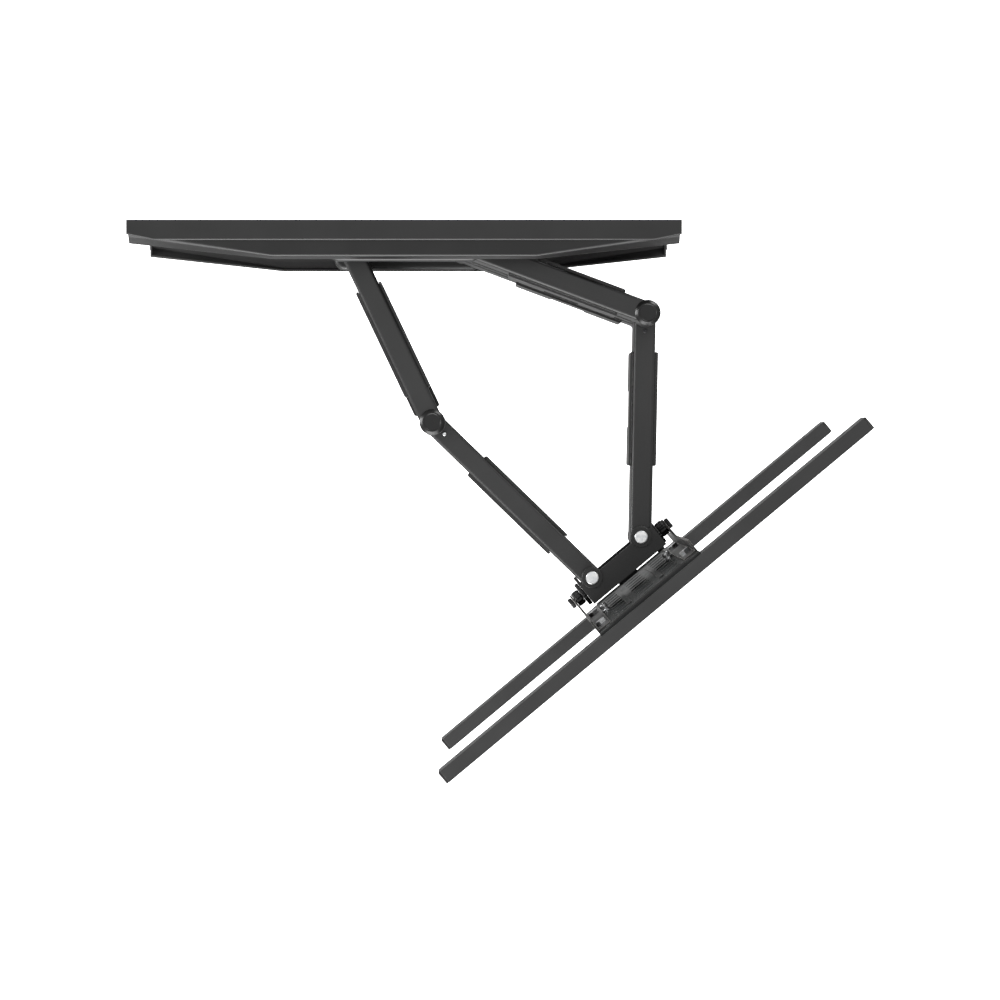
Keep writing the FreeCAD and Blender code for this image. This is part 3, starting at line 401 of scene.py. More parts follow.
@dataclass(frozen=True)
class PowderCoat(Finish):
    """Baked powder coat on steel: orange peel, faint clouds and lighter edges, which are scuffing
    on most coats and a painted highlight on the tilt brackets' ears.

    Attributes:
        edge_scuff_and_highlight: Colour along the edges: scuffing on most coats, a painted
            highlight in the ears' coat.
        clouds: Size of the clouds.
        edge_spot_size: Size of the lighter stretches of an edge.
        least_edge_spot: Lightening of the other stretches, as a share of theirs.
        peel: Size of the orange peel.
        peel_depth: Its height.
        grit: Size of the grit on the peel, as a share of the peel's.
        grit_depth: Its height, as a share of the peel's.
    """

    colour: Colour = (0.0080, 0.0080, 0.0080)
    second: Colour = (0.0112, 0.0112, 0.0112)
    roughness: tuple[float, float] = (0.40, 0.50)
    edge: float = 1.2 * MM
    gloss: float = 0.5
    edge_scuff_and_highlight: Colour = (0.050, 0.050, 0.050)
    clouds: float = 55 * MM
    edge_spot_size: float = 14 * MM
    least_edge_spot: float = 0.15
    peel: float = 0.9 * MM
    peel_depth: float = 0.028 * MM
    grit: float = 0.45
    grit_depth: float = 0.25

    def paint(self, graph: ShaderGraph) -> dict[str, Any]:
        """Draw the clouds, the lighter edges of scuffing and painted highlight, and two sizes of
        peel.

        Args:
            graph: The material's tree.

        Returns:
            What flows into the shader, by the names of its inputs.
        """
        rounded_normal = graph.soft_edge(self.edge)
        clouds = graph.cloud(self.clouds, detail=4)
        # Lighter edges: scuffing, and in the ears' coat a painted highlight.
        stretches = graph.cloud(self.edge_spot_size, detail=5)
        scuffed_and_lit = graph.between(stretches, self.least_edge_spot, 1.0, start=0.35, end=0.65)
        mask = graph.times(graph.edge_mask(rounded_normal), scuffed_and_lit)
        body = graph.blend(graph.between(clouds, 0.0, 1.0), self.colour, self.second)
        peel = graph.bump(graph.cloud(self.peel), self.peel_depth, rounded_normal)
        grit = graph.pebbles(self.peel * self.grit)
        return {
            "Base Color": graph.blend(mask, body, self.edge_scuff_and_highlight),
            "Roughness": graph.between(clouds, *self.roughness),
            "Normal": graph.bump(grit, self.peel_depth * self.grit_depth, peel),
        }


@dataclass(frozen=True)
class MouldedPlastic(Finish):
    """Injection-moulded plastic with a spark-eroded grain.

    Attributes:
        handled: Size of the handled places.
        grain: Size of the mould's grain.
        grain_depth: Its height.
    """

    colour: Colour = (0.0095, 0.0095, 0.0095)
    second: Colour = (0.026, 0.026, 0.026)
    roughness: tuple[float, float] = (0.36, 0.48)
    edge: float = 0.6 * MM
    gloss: float = 0.45
    handled: float = 22 * MM
    grain: float = 0.55 * MM
    grain_depth: float = 0.02 * MM

    def paint(self, graph: ShaderGraph) -> dict[str, Any]:
        """Draw the polished edges and the mould's grain.

        Args:
            graph: The material's tree.

        Returns:
            What flows into the shader, by the names of its inputs.
        """
        rounded_normal = graph.soft_edge(self.edge)
        mask = graph.edge_mask(rounded_normal)
        return {
            "Base Color": graph.blend(mask, self.colour, self.second),
            "Roughness": graph.between(graph.cloud(self.handled, detail=3), *self.roughness),
            "Normal": graph.bump(graph.pebbles(self.grain), self.grain_depth, rounded_normal),
        }


@dataclass(frozen=True)
class CloudedSkin(Finish):
    """A skin with clouds of a second colour and a fine noise for its grain.

    Attributes:
        clouds: Size of the clouds.
        grain: Size of the grain.
        grain_depth: Its height.
        grain_detail: Number of the grain's finer layers.
        stretch: How much finer the grain is along each axis.
        metallic: 1 for metal, or 0.
    """

    clouds: float
    grain: float
    grain_depth: float
    grain_detail: float = 2.0
    stretch: tuple[float, float, float] = (1.0, 1.0, 1.0)
    metallic: float = 0.0

    def paint(self, graph: ShaderGraph) -> dict[str, Any]:
        """Draw the clouds and the grain.

        Args:
            graph: The material's tree.

        Returns:
            What flows into the shader, by the names of its inputs.
        """
        clouds = graph.cloud(self.clouds, detail=4)
        skin = graph.cloud(self.grain, self.grain_detail, self.stretch)
        return {
            "Base Color": graph.blend(graph.between(clouds, 0.0, 1.0), self.colour, self.second),
            "Metallic": self.metallic,
            "Roughness": graph.between(clouds, *self.roughness),
            "Normal": graph.bump(skin, self.grain_depth, graph.soft_edge(self.edge)),
        }


@dataclass(frozen=True)
class ZincPlate(CloudedSkin):
    """Bright zinc plating with a passivated tint and fine tool marks."""

    colour: Colour = (0.80, 0.80, 0.79)
    second: Colour = (0.68, 0.70, 0.72)
    roughness: tuple[float, float] = (0.24, 0.40)
    edge: float = 0.25 * MM
    gloss: float = 0.5
    clouds: float = 3.5 * MM
    grain: float = 0.5 * MM
    grain_depth: float = 0.008 * MM
    grain_detail: float = 3.0
    stretch: tuple[float, float, float] = (1.0, 1.0, 4.0)
    metallic: float = 1.0


@dataclass(frozen=True)
class DullPolymer(CloudedSkin):
    """Nylon or rubber: little shine, and a fine cloudy skin."""

    colour: Colour = (0.012, 0.012, 0.0125)
    second: Colour = (0.020, 0.020, 0.021)
    roughness: tuple[float, float] = (0.62, 0.80)
    edge: float = 0.4 * MM
    gloss: float = 0.4
    clouds: float = 9 * MM
    grain: float = 0.35 * MM
    grain_depth: float = 0.012 * MM


def grey(level: float) -> Colour:
    """A neutral colour."""
    return (level, level, level)


COAT = PowderCoat("satin_powder_coat", "black_coat")
PLATE_COAT = PowderCoat(
    "wall_plate_coat", "black_coat", grey(0.0075), grey(0.0105), (0.28, 0.36), gloss=0.42
)
# Painted shade: the upper stiffener gets a darker copy of the black coat, for the darker tone its
# top takes from the way light falls on it.
SHADED_FOLDED_COAT = PowderCoat(
    "upper_stiffener_painted_shade_coat", "black_coat", grey(0.0055), grey(0.0085), (0.34, 0.44), gloss=0.36
)
# Painted light: the lower stiffener gets a far lighter copy of the black coat, to lift the shade
# that the upper stiffener casts on it.
LIT_TRAY_COAT = PowderCoat("lower_stiffener_painted_light_coat", "black_coat", grey(0.028), grey(0.034))
FORK_COAT = PowderCoat("fork_coat", "black_coat", gloss=0.42)
# Painted highlight: the ears' edges take a pale colour that stands in for light catching their
# rounded edges.
HIGHLIT_EAR_COAT = PowderCoat(
    "ear_coat_painted_highlight", "black_coat",
    roughness=(0.34, 0.46), edge=1.6 * MM, edge_scuff_and_highlight=(0.30, 0.29, 0.27),
)
# Painted shade and sheen: the screen plate's coat is darker than the rest, to darken its back
# where it is seen at a slant, and both tones are tinted green so that its lighter clouds paint
# green glints.
SHADED_WRINKLED_COAT = PowderCoat(
    "wrinkled_coat_painted_shade_and_sheen", "black_coat", (0.0062, 0.0070, 0.0068), (0.0115, 0.0130, 0.0126),
    (0.38, 0.52), gloss=0.4, peel=2.4 * MM, peel_depth=0.12 * MM,
)
PLASTIC = MouldedPlastic("grained_plastic", "black_plastic")
CAP_PLASTIC = MouldedPlastic(
    "cap_plastic", "black_plastic", grey(0.006), roughness=(0.24, 0.32), gloss=0.32
)
LIP_PLASTIC = MouldedPlastic(
    "lip_plastic", "black_plastic", grey(0.012), roughness=(0.24, 0.34), gloss=0.55
)
KNOB_PLASTIC = MouldedPlastic(
    "knob_plastic", "black_plastic", grey(0.007), roughness=(0.30, 0.42), grain=0.4 * MM
)
ZINC = ZincPlate("bright_zinc", "zinc")
BLACK_ZINC = ZincPlate("black_zinc", "zinc", grey(0.07), (0.045, 0.045, 0.05))
NYLON = DullPolymer("oiled_nylon", "bush_plastic", roughness=(0.45, 0.6))
RUBBER = DullPolymer("black_rubber", "rubber", grey(0.008))


def rounded(profile: Profile, steps: int = 4) -> list[Vector]:
    """Turn the inner corners of a profile into arcs.

    Args:
        profile: Its corners: across, along and the rounding's radius, if there is one.
        steps: Segments in each arc.

    Returns:
        The outline's points.
    """
    points = [Vector(corner[:2]) for corner in profile]
    outline = points[:1]
    for last, point, after, corner in zip(points, points[1:], points[2:], profile[1:]):
        if len(corner) == 2:
            outline.append(point)
            continue
        to_last, to_next = (last - point).normalized(), (after - point).normalized()
        reach = corner[2] / math.tan(to_last.angle(to_next) / 2)
        start, end = point + to_last * reach, point + to_next * reach
        for step in range(steps + 1):
            share = step / steps
            first, second = start.lerp(point, share), point.lerp(end, share)
            outline.append(first.lerp(second, share))
    return outline + points[-1:]


def scaled(shares: Profile, outer: float, depth: float) -> Profile:
    """Bring a profile of shares to size.

    Args:
        shares: Corners as shares of radius and depth, with roundings in millimetres.
        outer: The piece's radius.
        depth: The piece's length along its axis.

    Returns:
        The profile in metres.
    """
    return [(x * outer, z * depth, *(radius * MM for radius in rest)) for x, z, *rest in shares]


def turned(profile: Profile, station: Station, steps: int) -> Mesh:
    """Turn a profile round the station's z axis, from pole to pole.

    Args:
        profile: The profile, which starts and ends on the axis.
        station: Where the piece stands.
        steps: Number of sides.

    Returns:
        The closed mesh, in the row frame.
    """
    mesh = bmesh.new()
    turns = [2 * math.pi * step / steps for step in range(steps)]
    rings = []
    for point in rounded(profile):
        if point.x < ON_AXIS:
            rings.append([mesh.verts.new((0.0, 0.0, point.y))])
            continue
        ring = [(point.x * math.cos(turn), point.x * math.sin(turn), point.y) for turn in turns]
        rings.append([mesh.verts.new(place) for place in ring])
    for lower, upper in zip(rings, rings[1:]):
        for step in range(steps):
            sides = [(lower, step), (lower, step + 1), (upper, step + 1), (upper, step)]
            loop = list(dict.fromkeys(ring[number % len(ring)] for ring, number in sides))
            if len(loop) > 2:
                mesh.faces.new(loop)
    mesh.transform(station.matrix)
    return mesh


def block(low: Sequence[float], high: Sequence[float], station: Station, radius: float) -> Mesh:
    """A box with rounded edges.

    Args:
        low: Its lowest corner, in the station's coordinates.
        high: Its highest corner.
        station: Where it stands.
        radius: Radius of its edges.

    Returns:
        The closed mesh, in the row frame.
    """
    mesh = bmesh.new()
    bmesh.ops.create_cube(mesh, size=1.0)
    middle, size = (Vector(low) + Vector(high)) / 2, Vector(high) - Vector(low)
    for vertex in mesh.verts:
        vertex.co = Vector(middle[axis] + vertex.co[axis] * size[axis] for axis in range(3))
    edges = list(mesh.edges)
    bmesh.ops.bevel(mesh, geom=edges, offset=radius, segments=4, profile=0.5, affect="EDGES")
    mesh.transform(station.matrix)
    return mesh


def joined(name: str, meshes: Iterable[Mesh]) -> bpy.types.Object:
    """Make one object of closed meshes, with faces outwards.

    Args:
        name: The object's name.
        meshes: The meshes in the row frame, which are used up.

    Returns:
        The object.
    """
    whole = bmesh.new()
    data = bpy.data.meshes.new(name)
    for mesh in meshes:
        mesh.to_mesh(data)
        mesh.free()
        whole.from_mesh(data)
    bmesh.ops.remove_doubles(whole, verts=whole.verts, dist=SAME_POINT)
    bmesh.ops.recalc_face_normals(whole, faces=whole.faces)
    whole.to_mesh(data)
    whole.free()
    return bpy.data.objects.new(name, data)


class GrowingTree(ABC):
    """A Geometry Nodes tree with named sizes, made once and run on seed points.

    Attributes:
        name: The tree's name.
        sizes: Its inputs for numbers.
        vectors: Its inputs for directions.
        paired: Whether a path joins each pair of seeds.
    """

    name: str
    sizes: tuple[str, ...]
    vectors: tuple[str, ...] = ("Turn",)
    paired: bool = False

    def tree(self) -> bpy.types.NodeTree:
        """Make the tree on first use.

        Returns:
            The tree.
        """
        made = bpy.data.node_groups.get(self.name)
        if made is None:
            made = bpy.data.node_groups.new(self.name, "GeometryNodeTree")
            sockets = [("Seeds", "Geometry")] + [(size, "Float") for size in self.sizes]
            sockets += [(vector, "Vector") for vector in self.vectors] + [("Finish", "Material")]
            for name, kind in sockets:
                made.interface.new_socket(name, in_out="INPUT", socket_type=f"NodeSocket{kind}")
            made.interface.new_socket("Pieces", in_out="OUTPUT", socket_type="NodeSocketGeometry")
            graph = Graph(made)
            given = graph.add("NodeGroupInput").outputs
            shape = self.lay_out(graph, given)
            real = graph.add("GeometryNodeRealizeInstances", {"Geometry": shape})
            inputs = {"Geometry": real.outputs["Geometry"], "Material": given["Finish"]}
            finished = graph.add("GeometryNodeSetMaterial", inputs)
            graph.add("NodeGroupOutput", {"Pieces": finished.outputs["Geometry"]})
        return made

    @abstractmethod
    def lay_out(self, graph: Graph, given: Any) -> Any:
        """Build the tree's own part.

        Args:
            graph: The tree in the making.
            given: The tree's inputs, by name.

        Returns:
            The geometry to realize.
        """

    def grow(self, name: str, seeds: Sequence[Vector], finish: Finish, **sizes: Any) -> Any:
        """Run the tree and keep the result as a plain mesh.

        Args:
            name: The new object's name.
            seeds: Points of the seed mesh, in the row frame.
            finish: Finish of the result.
            **sizes: The tree's sizes, with an underscore for each space.

        Returns:
            The new object.
        """
        starts = range(0, len(seeds), 2) if self.paired else ()
        data = bpy.data.meshes.new(f"{name}_seeds")
        data.from_pydata([tuple(seed) for seed in seeds], [(at, at + 1) for at in starts], [])
        holder = bpy.data.objects.new(f"{name}_seeds", data)
        bpy.context.scene.collection.objects.link(holder)
        modifier = holder.modifiers.new("grow", "NODES")
        modifier.node_group = self.tree()
        values = {size.replace("_", " "): value for size, value in sizes.items()}
        values["finish"] = finish.material()
        for item in modifier.node_group.interface.items_tree:
            if item.in_out == "INPUT" and item.name.lower() in values:
                modifier[item.identifier] = values[item.name.lower()]
        depsgraph = bpy.context.evaluated_depsgraph_get()
        mesh = bpy.data.meshes.new_from_object(holder.evaluated_get(depsgraph))
        holder.modifiers.remove(modifier)
        bpy.data.objects.remove(holder)
        mesh.name = name
        return bpy.data.objects.new(name, mesh)


class HexBolts(GrowingTree):
    """Bolts with a chamfered hexagon, a round shank and a nut of the same shape.

    Attributes:
        CROWN: Radius of the head's flat top, as a share of its corners' radius.
        SLOPE: How far the chamfer widens downwards, as a share of the head's height.
    """

    name = "hex_bolts"
    sizes = ("Corner", "Height", "Shank", "Reach", "Nut At")

    CROWN = 0.84
    SLOPE = 1.9

    def lay_out(self, graph: Graph, given: Any) -> Any:
        """Draw a bolt and set one on every seed.

        Args:
            graph: The tree in the making.
            given: The tree's inputs, by name.

        Returns:
            The geometry to realize.
        """
        head = self._hexagon(graph, given)
        nut = self._moved(graph, head, given["Nut At"], turn=math.pi)
        bolt = graph.add("GeometryNodeJoinGeometry")
        for shape in (nut, self._shank(graph, given), head):
            graph.tree.links.new(shape, bolt.inputs[0])
        return graph.on_seeds(bolt.outputs[0], given)

    def _moved(self, graph: Graph, shape: Any, height: Any, turn: float = 0.0) -> Any:
        """Move a shape along z, and turn it round x first."""
        move = {"Translation": graph.triple(z=height), "Rotation": (turn, 0.0, 0.0)}
        return graph.add("GeometryNodeTransform", {"Geometry": shape, **move}).outputs["Geometry"]

    def _hexagon(self, graph: Graph, given: Any) -> Any:
        """A hexagon whose outer corners are cut by a cone.

        Args:
            graph: The tree in the making.
            given: The tree's inputs, by name.

        Returns:
            The hexagon's geometry, which stands on the seed.
        """
        height = given["Height"]
        sides = {"Vertices": 6, "Radius": given["Corner"], "Depth": height}
        prism = graph.add("GeometryNodeMeshCylinder", sides).outputs["Mesh"]
        crown = graph.times(given["Corner"], self.CROWN)
        foot = graph.math("ADD", crown, graph.times(height, self.SLOPE))
        sides = {"Vertices": 48, "Radius Top": crown, "Radius Bottom": foot, "Depth": height}
        cone = graph.add("GeometryNodeMeshCone", sides).outputs["Mesh"]
        seated = self._moved(graph, cone, graph.times(height, -0.5))
        cut = graph.add("GeometryNodeMeshBoolean", operation="INTERSECT", solver="EXACT")
        for shape in (prism, seated):
            graph.tree.links.new(shape, cut.inputs[1])
        return self._moved(graph, cut.outputs["Mesh"], graph.times(height, 0.5))

    def _shank(self, graph: Graph, given: Any) -> Any:
        """A round shank below the head.

        Args:
            graph: The tree in the making.
            given: The tree's inputs, by name.

        Returns:
            The shank's geometry.
        """
        sizes = {"Vertices": 40, "Radius": given["Shank"], "Depth": given["Reach"]}
        rod = graph.add("GeometryNodeMeshCylinder", sizes).outputs["Mesh"]
        return self._moved(graph, rod, graph.times(given["Reach"], -0.5))


class LobedRounds(GrowingTree):
    """Rounds whose rim swings in and out, such as star knobs and ridged sleeves.

    Attributes:
        FALL: How suddenly the ends draw in.
    """

    name = "lobed_rounds"
    sizes = ("Radius", "Swing", "Lobes", "Length", "Crown", "Drop")

    FALL = 2.5

    def lay_out(self, graph: Graph, given: Any) -> Any:
        """Draw a lobed round and set one on every seed.

        Args:
            graph: The tree in the making.
            given: The tree's inputs, by name.

        Returns:
            The geometry to realize.
        """
        sizes = {
            "Vertices": 240, "Side Segments": 16, "Fill Segments": 3,
            "Radius": given["Radius"], "Depth": given["Length"],
        }
        rod = graph.add("GeometryNodeMeshCylinder", sizes).outputs["Mesh"]
        position = graph.add("GeometryNodeInputPosition").outputs[0]
        x, y, z = graph.add("ShaderNodeSeparateXYZ", {0: position}).outputs
        angle = graph.math("ARCTAN2", y, x)
        wave = graph.math("COSINE", graph.times(angle, given["Lobes"]))
        rim = graph.math("ADD", graph.times(wave, given["Swing"]), 1.0)
        half = graph.times(given["Length"], 0.5)
        above = graph.math("SUBTRACT", graph.math("ABSOLUTE", z), half)
        inside = graph.math("ADD", above, given["Crown"])
        share = graph.math("DIVIDE", graph.math("MAXIMUM", inside, 0.0), given["Crown"])
        fall = graph.times(graph.math("POWER", share, self.FALL), given["Drop"])
        factor = graph.times(rim, graph.math("SUBTRACT", 1.0, fall))
        moved = graph.triple(graph.times(x, factor), graph.times(y, factor), z)
        shaped = graph.add("GeometryNodeSetPosition", {"Geometry": rod, "Position": moved})
        return graph.on_seeds(shaped.outputs[0], given)


class WeldRuns(GrowingTree):
    """Weld beads: overlapping ripples along the seed paths."""

    name = "weld_runs"
    sizes = ("Bead", "Pitch")
    vectors = ()
    paired = True

    def lay_out(self, graph: Graph, given: Any) -> Any:
        """Set ripples of uneven size along the paths.

        Args:
            graph: The tree in the making.
            given: The tree's inputs, by name.

        Returns:
            The geometry to realize.
        """
        path = graph.add("GeometryNodeMeshToCurve", {"Mesh": given["Seeds"]}).outputs["Curve"]
        spacing = {"Curve": path, "Length": given["Pitch"]}
        spaced = graph.add("GeometryNodeResampleCurve", spacing, mode="LENGTH").outputs["Curve"]
        ball = {"Radius": given["Bead"], "Subdivisions": 3}
        ripple = graph.add("GeometryNodeMeshIcoSphere", ball).outputs["Mesh"]
        spread = {"Min": (0.85, 0.85, 0.85), "Max": (1.12, 1.12, 1.12), "Seed": 7}
        uneven = graph.add("FunctionNodeRandomValue", spread, data_type="FLOAT_VECTOR")
        inputs = {"Points": spaced, "Instance": ripple, "Scale": uneven.outputs["Value"]}
        return graph.add("GeometryNodeInstanceOnPoints", inputs).outputs["Instances"]


class PressedPads(GrowingTree):
    """Low oval pads, as pressed into sheet, that rise along y."""

    name = "pressed_pads"
    sizes = ("Length", "Width", "Rise")

    def lay_out(self, graph: Graph, given: Any) -> Any:
        """Draw a pad and set one on every seed.

        Args:
            graph: The tree in the making.
            given: The tree's inputs, by name.

        Returns:
            The geometry to realize.
        """
        ball = {"Segments": 48, "Rings": 24, "Radius": 1.0}
        dome = graph.add("GeometryNodeMeshUVSphere", ball).outputs["Mesh"]
        length, width = graph.times(given["Length"], 0.5), graph.times(given["Width"], 0.5)
        scale = graph.triple(length, given["Rise"], width)
        pad = graph.add("GeometryNodeTransform", {"Geometry": dome, "Scale": scale})
        return graph.on_seeds(pad.outputs["Geometry"], given)


class Workshop:
    """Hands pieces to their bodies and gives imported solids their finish."""

    SHARP = math.radians(32)

    def __init__(self) -> None:
        """Read the plan and start the count of pieces."""
        self.plan = Plan()
        self.made = 0

    def hand_over(
        self, piece: bpy.types.Object, body: str, finish: Finish, nodes: Sequence[str] = ()
    ) -> None:
        """Finish a piece, link it and let it ride on its body.

        Args:
            piece: The object.
            body: The body that carries it.
            finish: Its finish.
            nodes: The solids that it stands for.
        """
        piece.data.shade_smooth()
        piece.data.set_sharp_from_angle(angle=self.SHARP)
        bpy.context.scene.collection.objects.link(piece)
        if not piece.data.materials:
            piece.data.materials.append(finish.material())
        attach(piece, body)
        if nodes:
            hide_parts(*nodes)
        self.made += 1
        faces = len(piece.data.polygons)
        log.info("%s on %s in %s, %d faces", piece.name, body, finish.name, faces)

    def dress(self, finish: Finish, *nodes: str) -> None:
        """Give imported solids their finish.

        Args:
            finish: The finish.
            *nodes: Names of the solids.
        """
        for name in nodes:
            solid = frame["nodes"][name]
            if not solid.material_slots:
                solid.data.materials.append(None)
            for slot in solid.material_slots:
                slot.material = finish.material()
            log.info("%s in %s", name, finish.name)


@dataclass
class Assembly(ABC):
    """A group of pieces on one body.

    Attributes:
        shop: Hands over the pieces.
    """

    shop: Workshop

    @property
    @abstractmethod
    def body(self) -> str:
        """Name of the body that carries the pieces."""

    @property
    def plan(self) -> Plan:
        """The mount's pivots and stations."""
        return self.shop.plan

    @property
    def head(self) -> Station:
        """The head's station."""
        return self.plan.head

    @abstractmethod
    def build(self) -> None:
        """Dress and make the pieces."""

    def add(self, name: str, meshes: Iterable[Mesh], finish: Finish) -> None:
        """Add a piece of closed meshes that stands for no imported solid."""
        self.shop.hand_over(joined(name, meshes), self.body, finish)

    def replace(self, node: str, meshes: Iterable[Mesh], finish: Finish) -> None:
        """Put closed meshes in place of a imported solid."""
        self.shop.hand_over(joined(f"{node}_dressed", meshes), self.body, finish, [node])

    def turn(
        self, node: str, profile: Profile, stations: Iterable[Station], finish: Finish,
        steps: int = 48,
    ) -> None:
        """Turn one profile at each station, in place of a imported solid."""
        self.replace(node, [turned(profile, station, steps) for station in stations], finish)

    def grow(
        self, tree: GrowingTree, node: str, seeds: Sequence[Vector], finish: Finish, **sizes: Any
    ) -> None:
        """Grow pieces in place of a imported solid."""
        pieces = tree.grow(f"{node}_dressed", seeds, finish, **sizes)
        self.shop.hand_over(pieces, self.body, finish, [node])


@dataclass
class Sided(Assembly):
    """An assembly that is there on both sides.

    Attributes:
        hand: Which side it is on.
    """

    hand: Hand

    kind = ""

    @property
    def body(self) -> str:
        """Name of the body that carries the pieces."""
        return f"{self.kind}_{self.hand.value}"


@dataclass
class WallSide(Assembly):
    """The wall plate with its stiffeners, the shoulder bracket and the long bolts.

    Attributes:
        shank: Radius of the shoulder bolts.
        thread_end: How far the thread stands out of a nut.
        stitch: Length of a weld.
        bead: Radius of a weld bead.
        ripple: Distance between a bead's ripples, as a share of its radius.
    """

    shank: float = 6 * MM
    thread_end: float = 0.5 * MM
    stitch: float = 28 * MM
    bead: float = 1.9 * MM
    ripple: float = 0.75

    body = "wall_side"

    def build(self) -> None:
        """Dress the solids and make the bolts, nuts and welds."""
        self.shop.dress(PLATE_COAT, "wall_plate")
        self.shop.dress(SHADED_FOLDED_COAT, "stiffener_top")
        self.shop.dress(LIT_TRAY_COAT, "stiffener_bottom")
        self.shop.dress(COAT, "shoulder_bracket", "shoulder_spacers")
        self.shop.dress(NYLON, "shoulder_washers")
        self._bolts()
        self._welds()

    def _bolts(self) -> None:
        """Make the long shoulder bolts, with heads as high as the nuts below the bracket."""
        nut_low, nut_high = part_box("shoulder_nuts")
        height = nut_high.z - nut_low.z
        sizes = {"height": height, "shank": self.shank, "nut_at": 0.0}
        seats = []
        for hand in Hand:
            name = f"shoulder_bolt_{hand.value}"
            low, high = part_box(name)
            middle = (low + high) / 2
            seat = Vector((middle.x, middle.y, high.z - height))
            self.grow(
                HexBolts(), name, [seat], ZINC, corner=(high.x - low.x) / 2,
                reach=seat.z - low.z, turn=(0.0, 0.0, 0.0), **sizes,
            )
            pivot = self.plan.shoulder(hand)
            seats.append(Vector((pivot.x, pivot.y, nut_high.z)))
        self.grow(
            HexBolts(), "shoulder_nuts", seats, ZINC,
            corner=(nut_high.x - nut_low.x) / 2 - self.plan.shoulder(Hand.RIGHT).x,
            reach=height + self.thread_end, turn=(math.pi, 0.0, 0.0), **sizes,
        )

    def _welds(self) -> None:
        """Stitch the bracket to the plate along its edges."""
        low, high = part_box("shoulder_bracket")
        inset = 2 * self.stitch / 3
        across = Vector((self.stitch / 2, 0.0, 0.0))
        upwards = Vector((0.0, 0.0, self.stitch / 2))
        columns = (low.x + inset, 0.0, high.x - inset)
        levels = (low.z / 2, high.z / 2)
        runs = [(Vector((x, high.y, z)), across) for z in (low.z, high.z) for x in columns]
        runs += [(Vector((x, high.y, z)), upwards) for x in (low.x, high.x) for z in levels]
        seeds = [end for middle, half in runs for end in (middle - half, middle + half)]
        pitch = self.bead * self.ripple
        beads = WeldRuns().grow("bracket_welds", seeds, COAT, bead=self.bead, pitch=pitch)
        self.shop.hand_over(beads, self.body, COAT)


@dataclass
class Arm(Sided):
    """One of the mount's arms, whose cable covers have soft lips in their slots.

    Attributes:
        cover_wall: Wall of a cable cover.
        lip_span: From the wall's inside to a lip's two sides.
        lip_depth: From the cover's upper edge down to a lip's foot.
        lip_rise: From that edge up to a lip's top.
        lip_inset: From a cover's ends to its lips.
        lip_edge: Rounding of a lip.
    """

    cover_wall: float = 3.5 * MM
    lip_span: tuple[float, float] = (-0.5 * MM, 0.4 * MM)
    lip_depth: float = 0.9 * MM
    lip_rise: float = 0.3 * MM
    lip_inset: float = 2 * MM
    lip_edge: float = 0.35 * MM

    def _cover(self, cover: str, station: Station) -> None:
        """Dress a cable cover and close the slots between its walls and the tube.

        Args:
            cover: Name of the cover.
            station: The arm's station, with x along the arm.
        """
        self.shop.dress(PLASTIC, cover)
        low, high = station.measure(cover)
        lips = []
        for side in (-1, 1):
            wall = high.y - self.cover_wall
            inner, outer = sorted(side * (wall - shift) for shift in self.lip_span)
            foot = (low.x + self.lip_inset, inner, high.z - self.lip_depth)
            top = (high.x - self.lip_inset, outer, high.z + self.lip_rise)
            lips.append(block(foot, top, station, self.lip_edge))
        self.add(f"{cover}_lips", lips, LIP_PLASTIC)


@dataclass
class UpperArm(Arm):
    """Two stacked tubes with their cable covers and the elbow's bolt and caps.

    Attributes:
        lip: Height of the cap's upright rim.
        foot: Rounding of the rim's lower edge.
        edge: Rounding of the cap's other edges.
        dish: Depth of the cap's shallow dish.
        plug: Radius of the cap's plug, as a share of the cap's.
        flat: Radius of its flat top, as a share of the cap's.
        dish_rim: Radius of the dish's rim, as a share of the top's.
        dish_floor: Radius of the dish's floor, as a share of the top's.
    """

    lip: float = 0.7 * MM
    foot: float = 0.2 * MM
    edge: float = 0.5 * MM
    dish: float = 0.5 * MM
    plug: float = 0.68
    flat: float = 0.75
    dish_rim: float = 0.9
    dish_floor: float = 0.84

    kind = "upper"

    def build(self) -> None:
        """Dress the tubes and covers and make the caps."""
        side = self.hand.value
        for layer in Layer:
            self.shop.dress(COAT, f"upper_arm_{side}_{layer.value}")
            self._cover(f"cable_cover_{side}_{layer.value}", self.plan.upper(self.hand))
            self._cap(layer)
        self.shop.dress(NYLON, f"shoulder_bushes_{side}", f"elbow_washers_{side}")
        self.shop.dress(ZINC, f"elbow_bolt_{side}", f"elbow_nut_{side}")

    def _cap(self, layer: Layer) -> None:
        """Make an elbow cap with a sloped rim and a dished top.

        Args:
            layer: Which of the two tubes it closes.
        """
        ending = f"{self.hand.value}_{layer.value}"
        bottom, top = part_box(f"upper_arm_{ending}")
        elbow = self.plan.elbow(self.hand)
        face = top.z if layer is Layer.TOP else bottom.z
        station = Station.on_axes(Vector((elbow.x, elbow.y, face)), ALONG_X, UP * layer.sign)
        low, high = station.measure(f"elbow_cap_{ending}")
        plug, flat = high.x * self.plug, high.x * self.flat
        profile = [
            (0.0, low.z),
            (plug, low.z, self.edge),
            (plug, 0.0),
            (high.x, 0.0, self.foot),
            (high.x, self.lip, self.edge),
            (flat, high.z, 3 * self.edge),
            (flat * self.dish_rim, high.z, self.edge),
            (flat * self.dish_floor, high.z - self.dish, self.edge),
            (0.0, high.z - self.dish),
        ]
        self.turn(f"elbow_cap_{ending}", profile, [station], CAP_PLASTIC, steps=72)


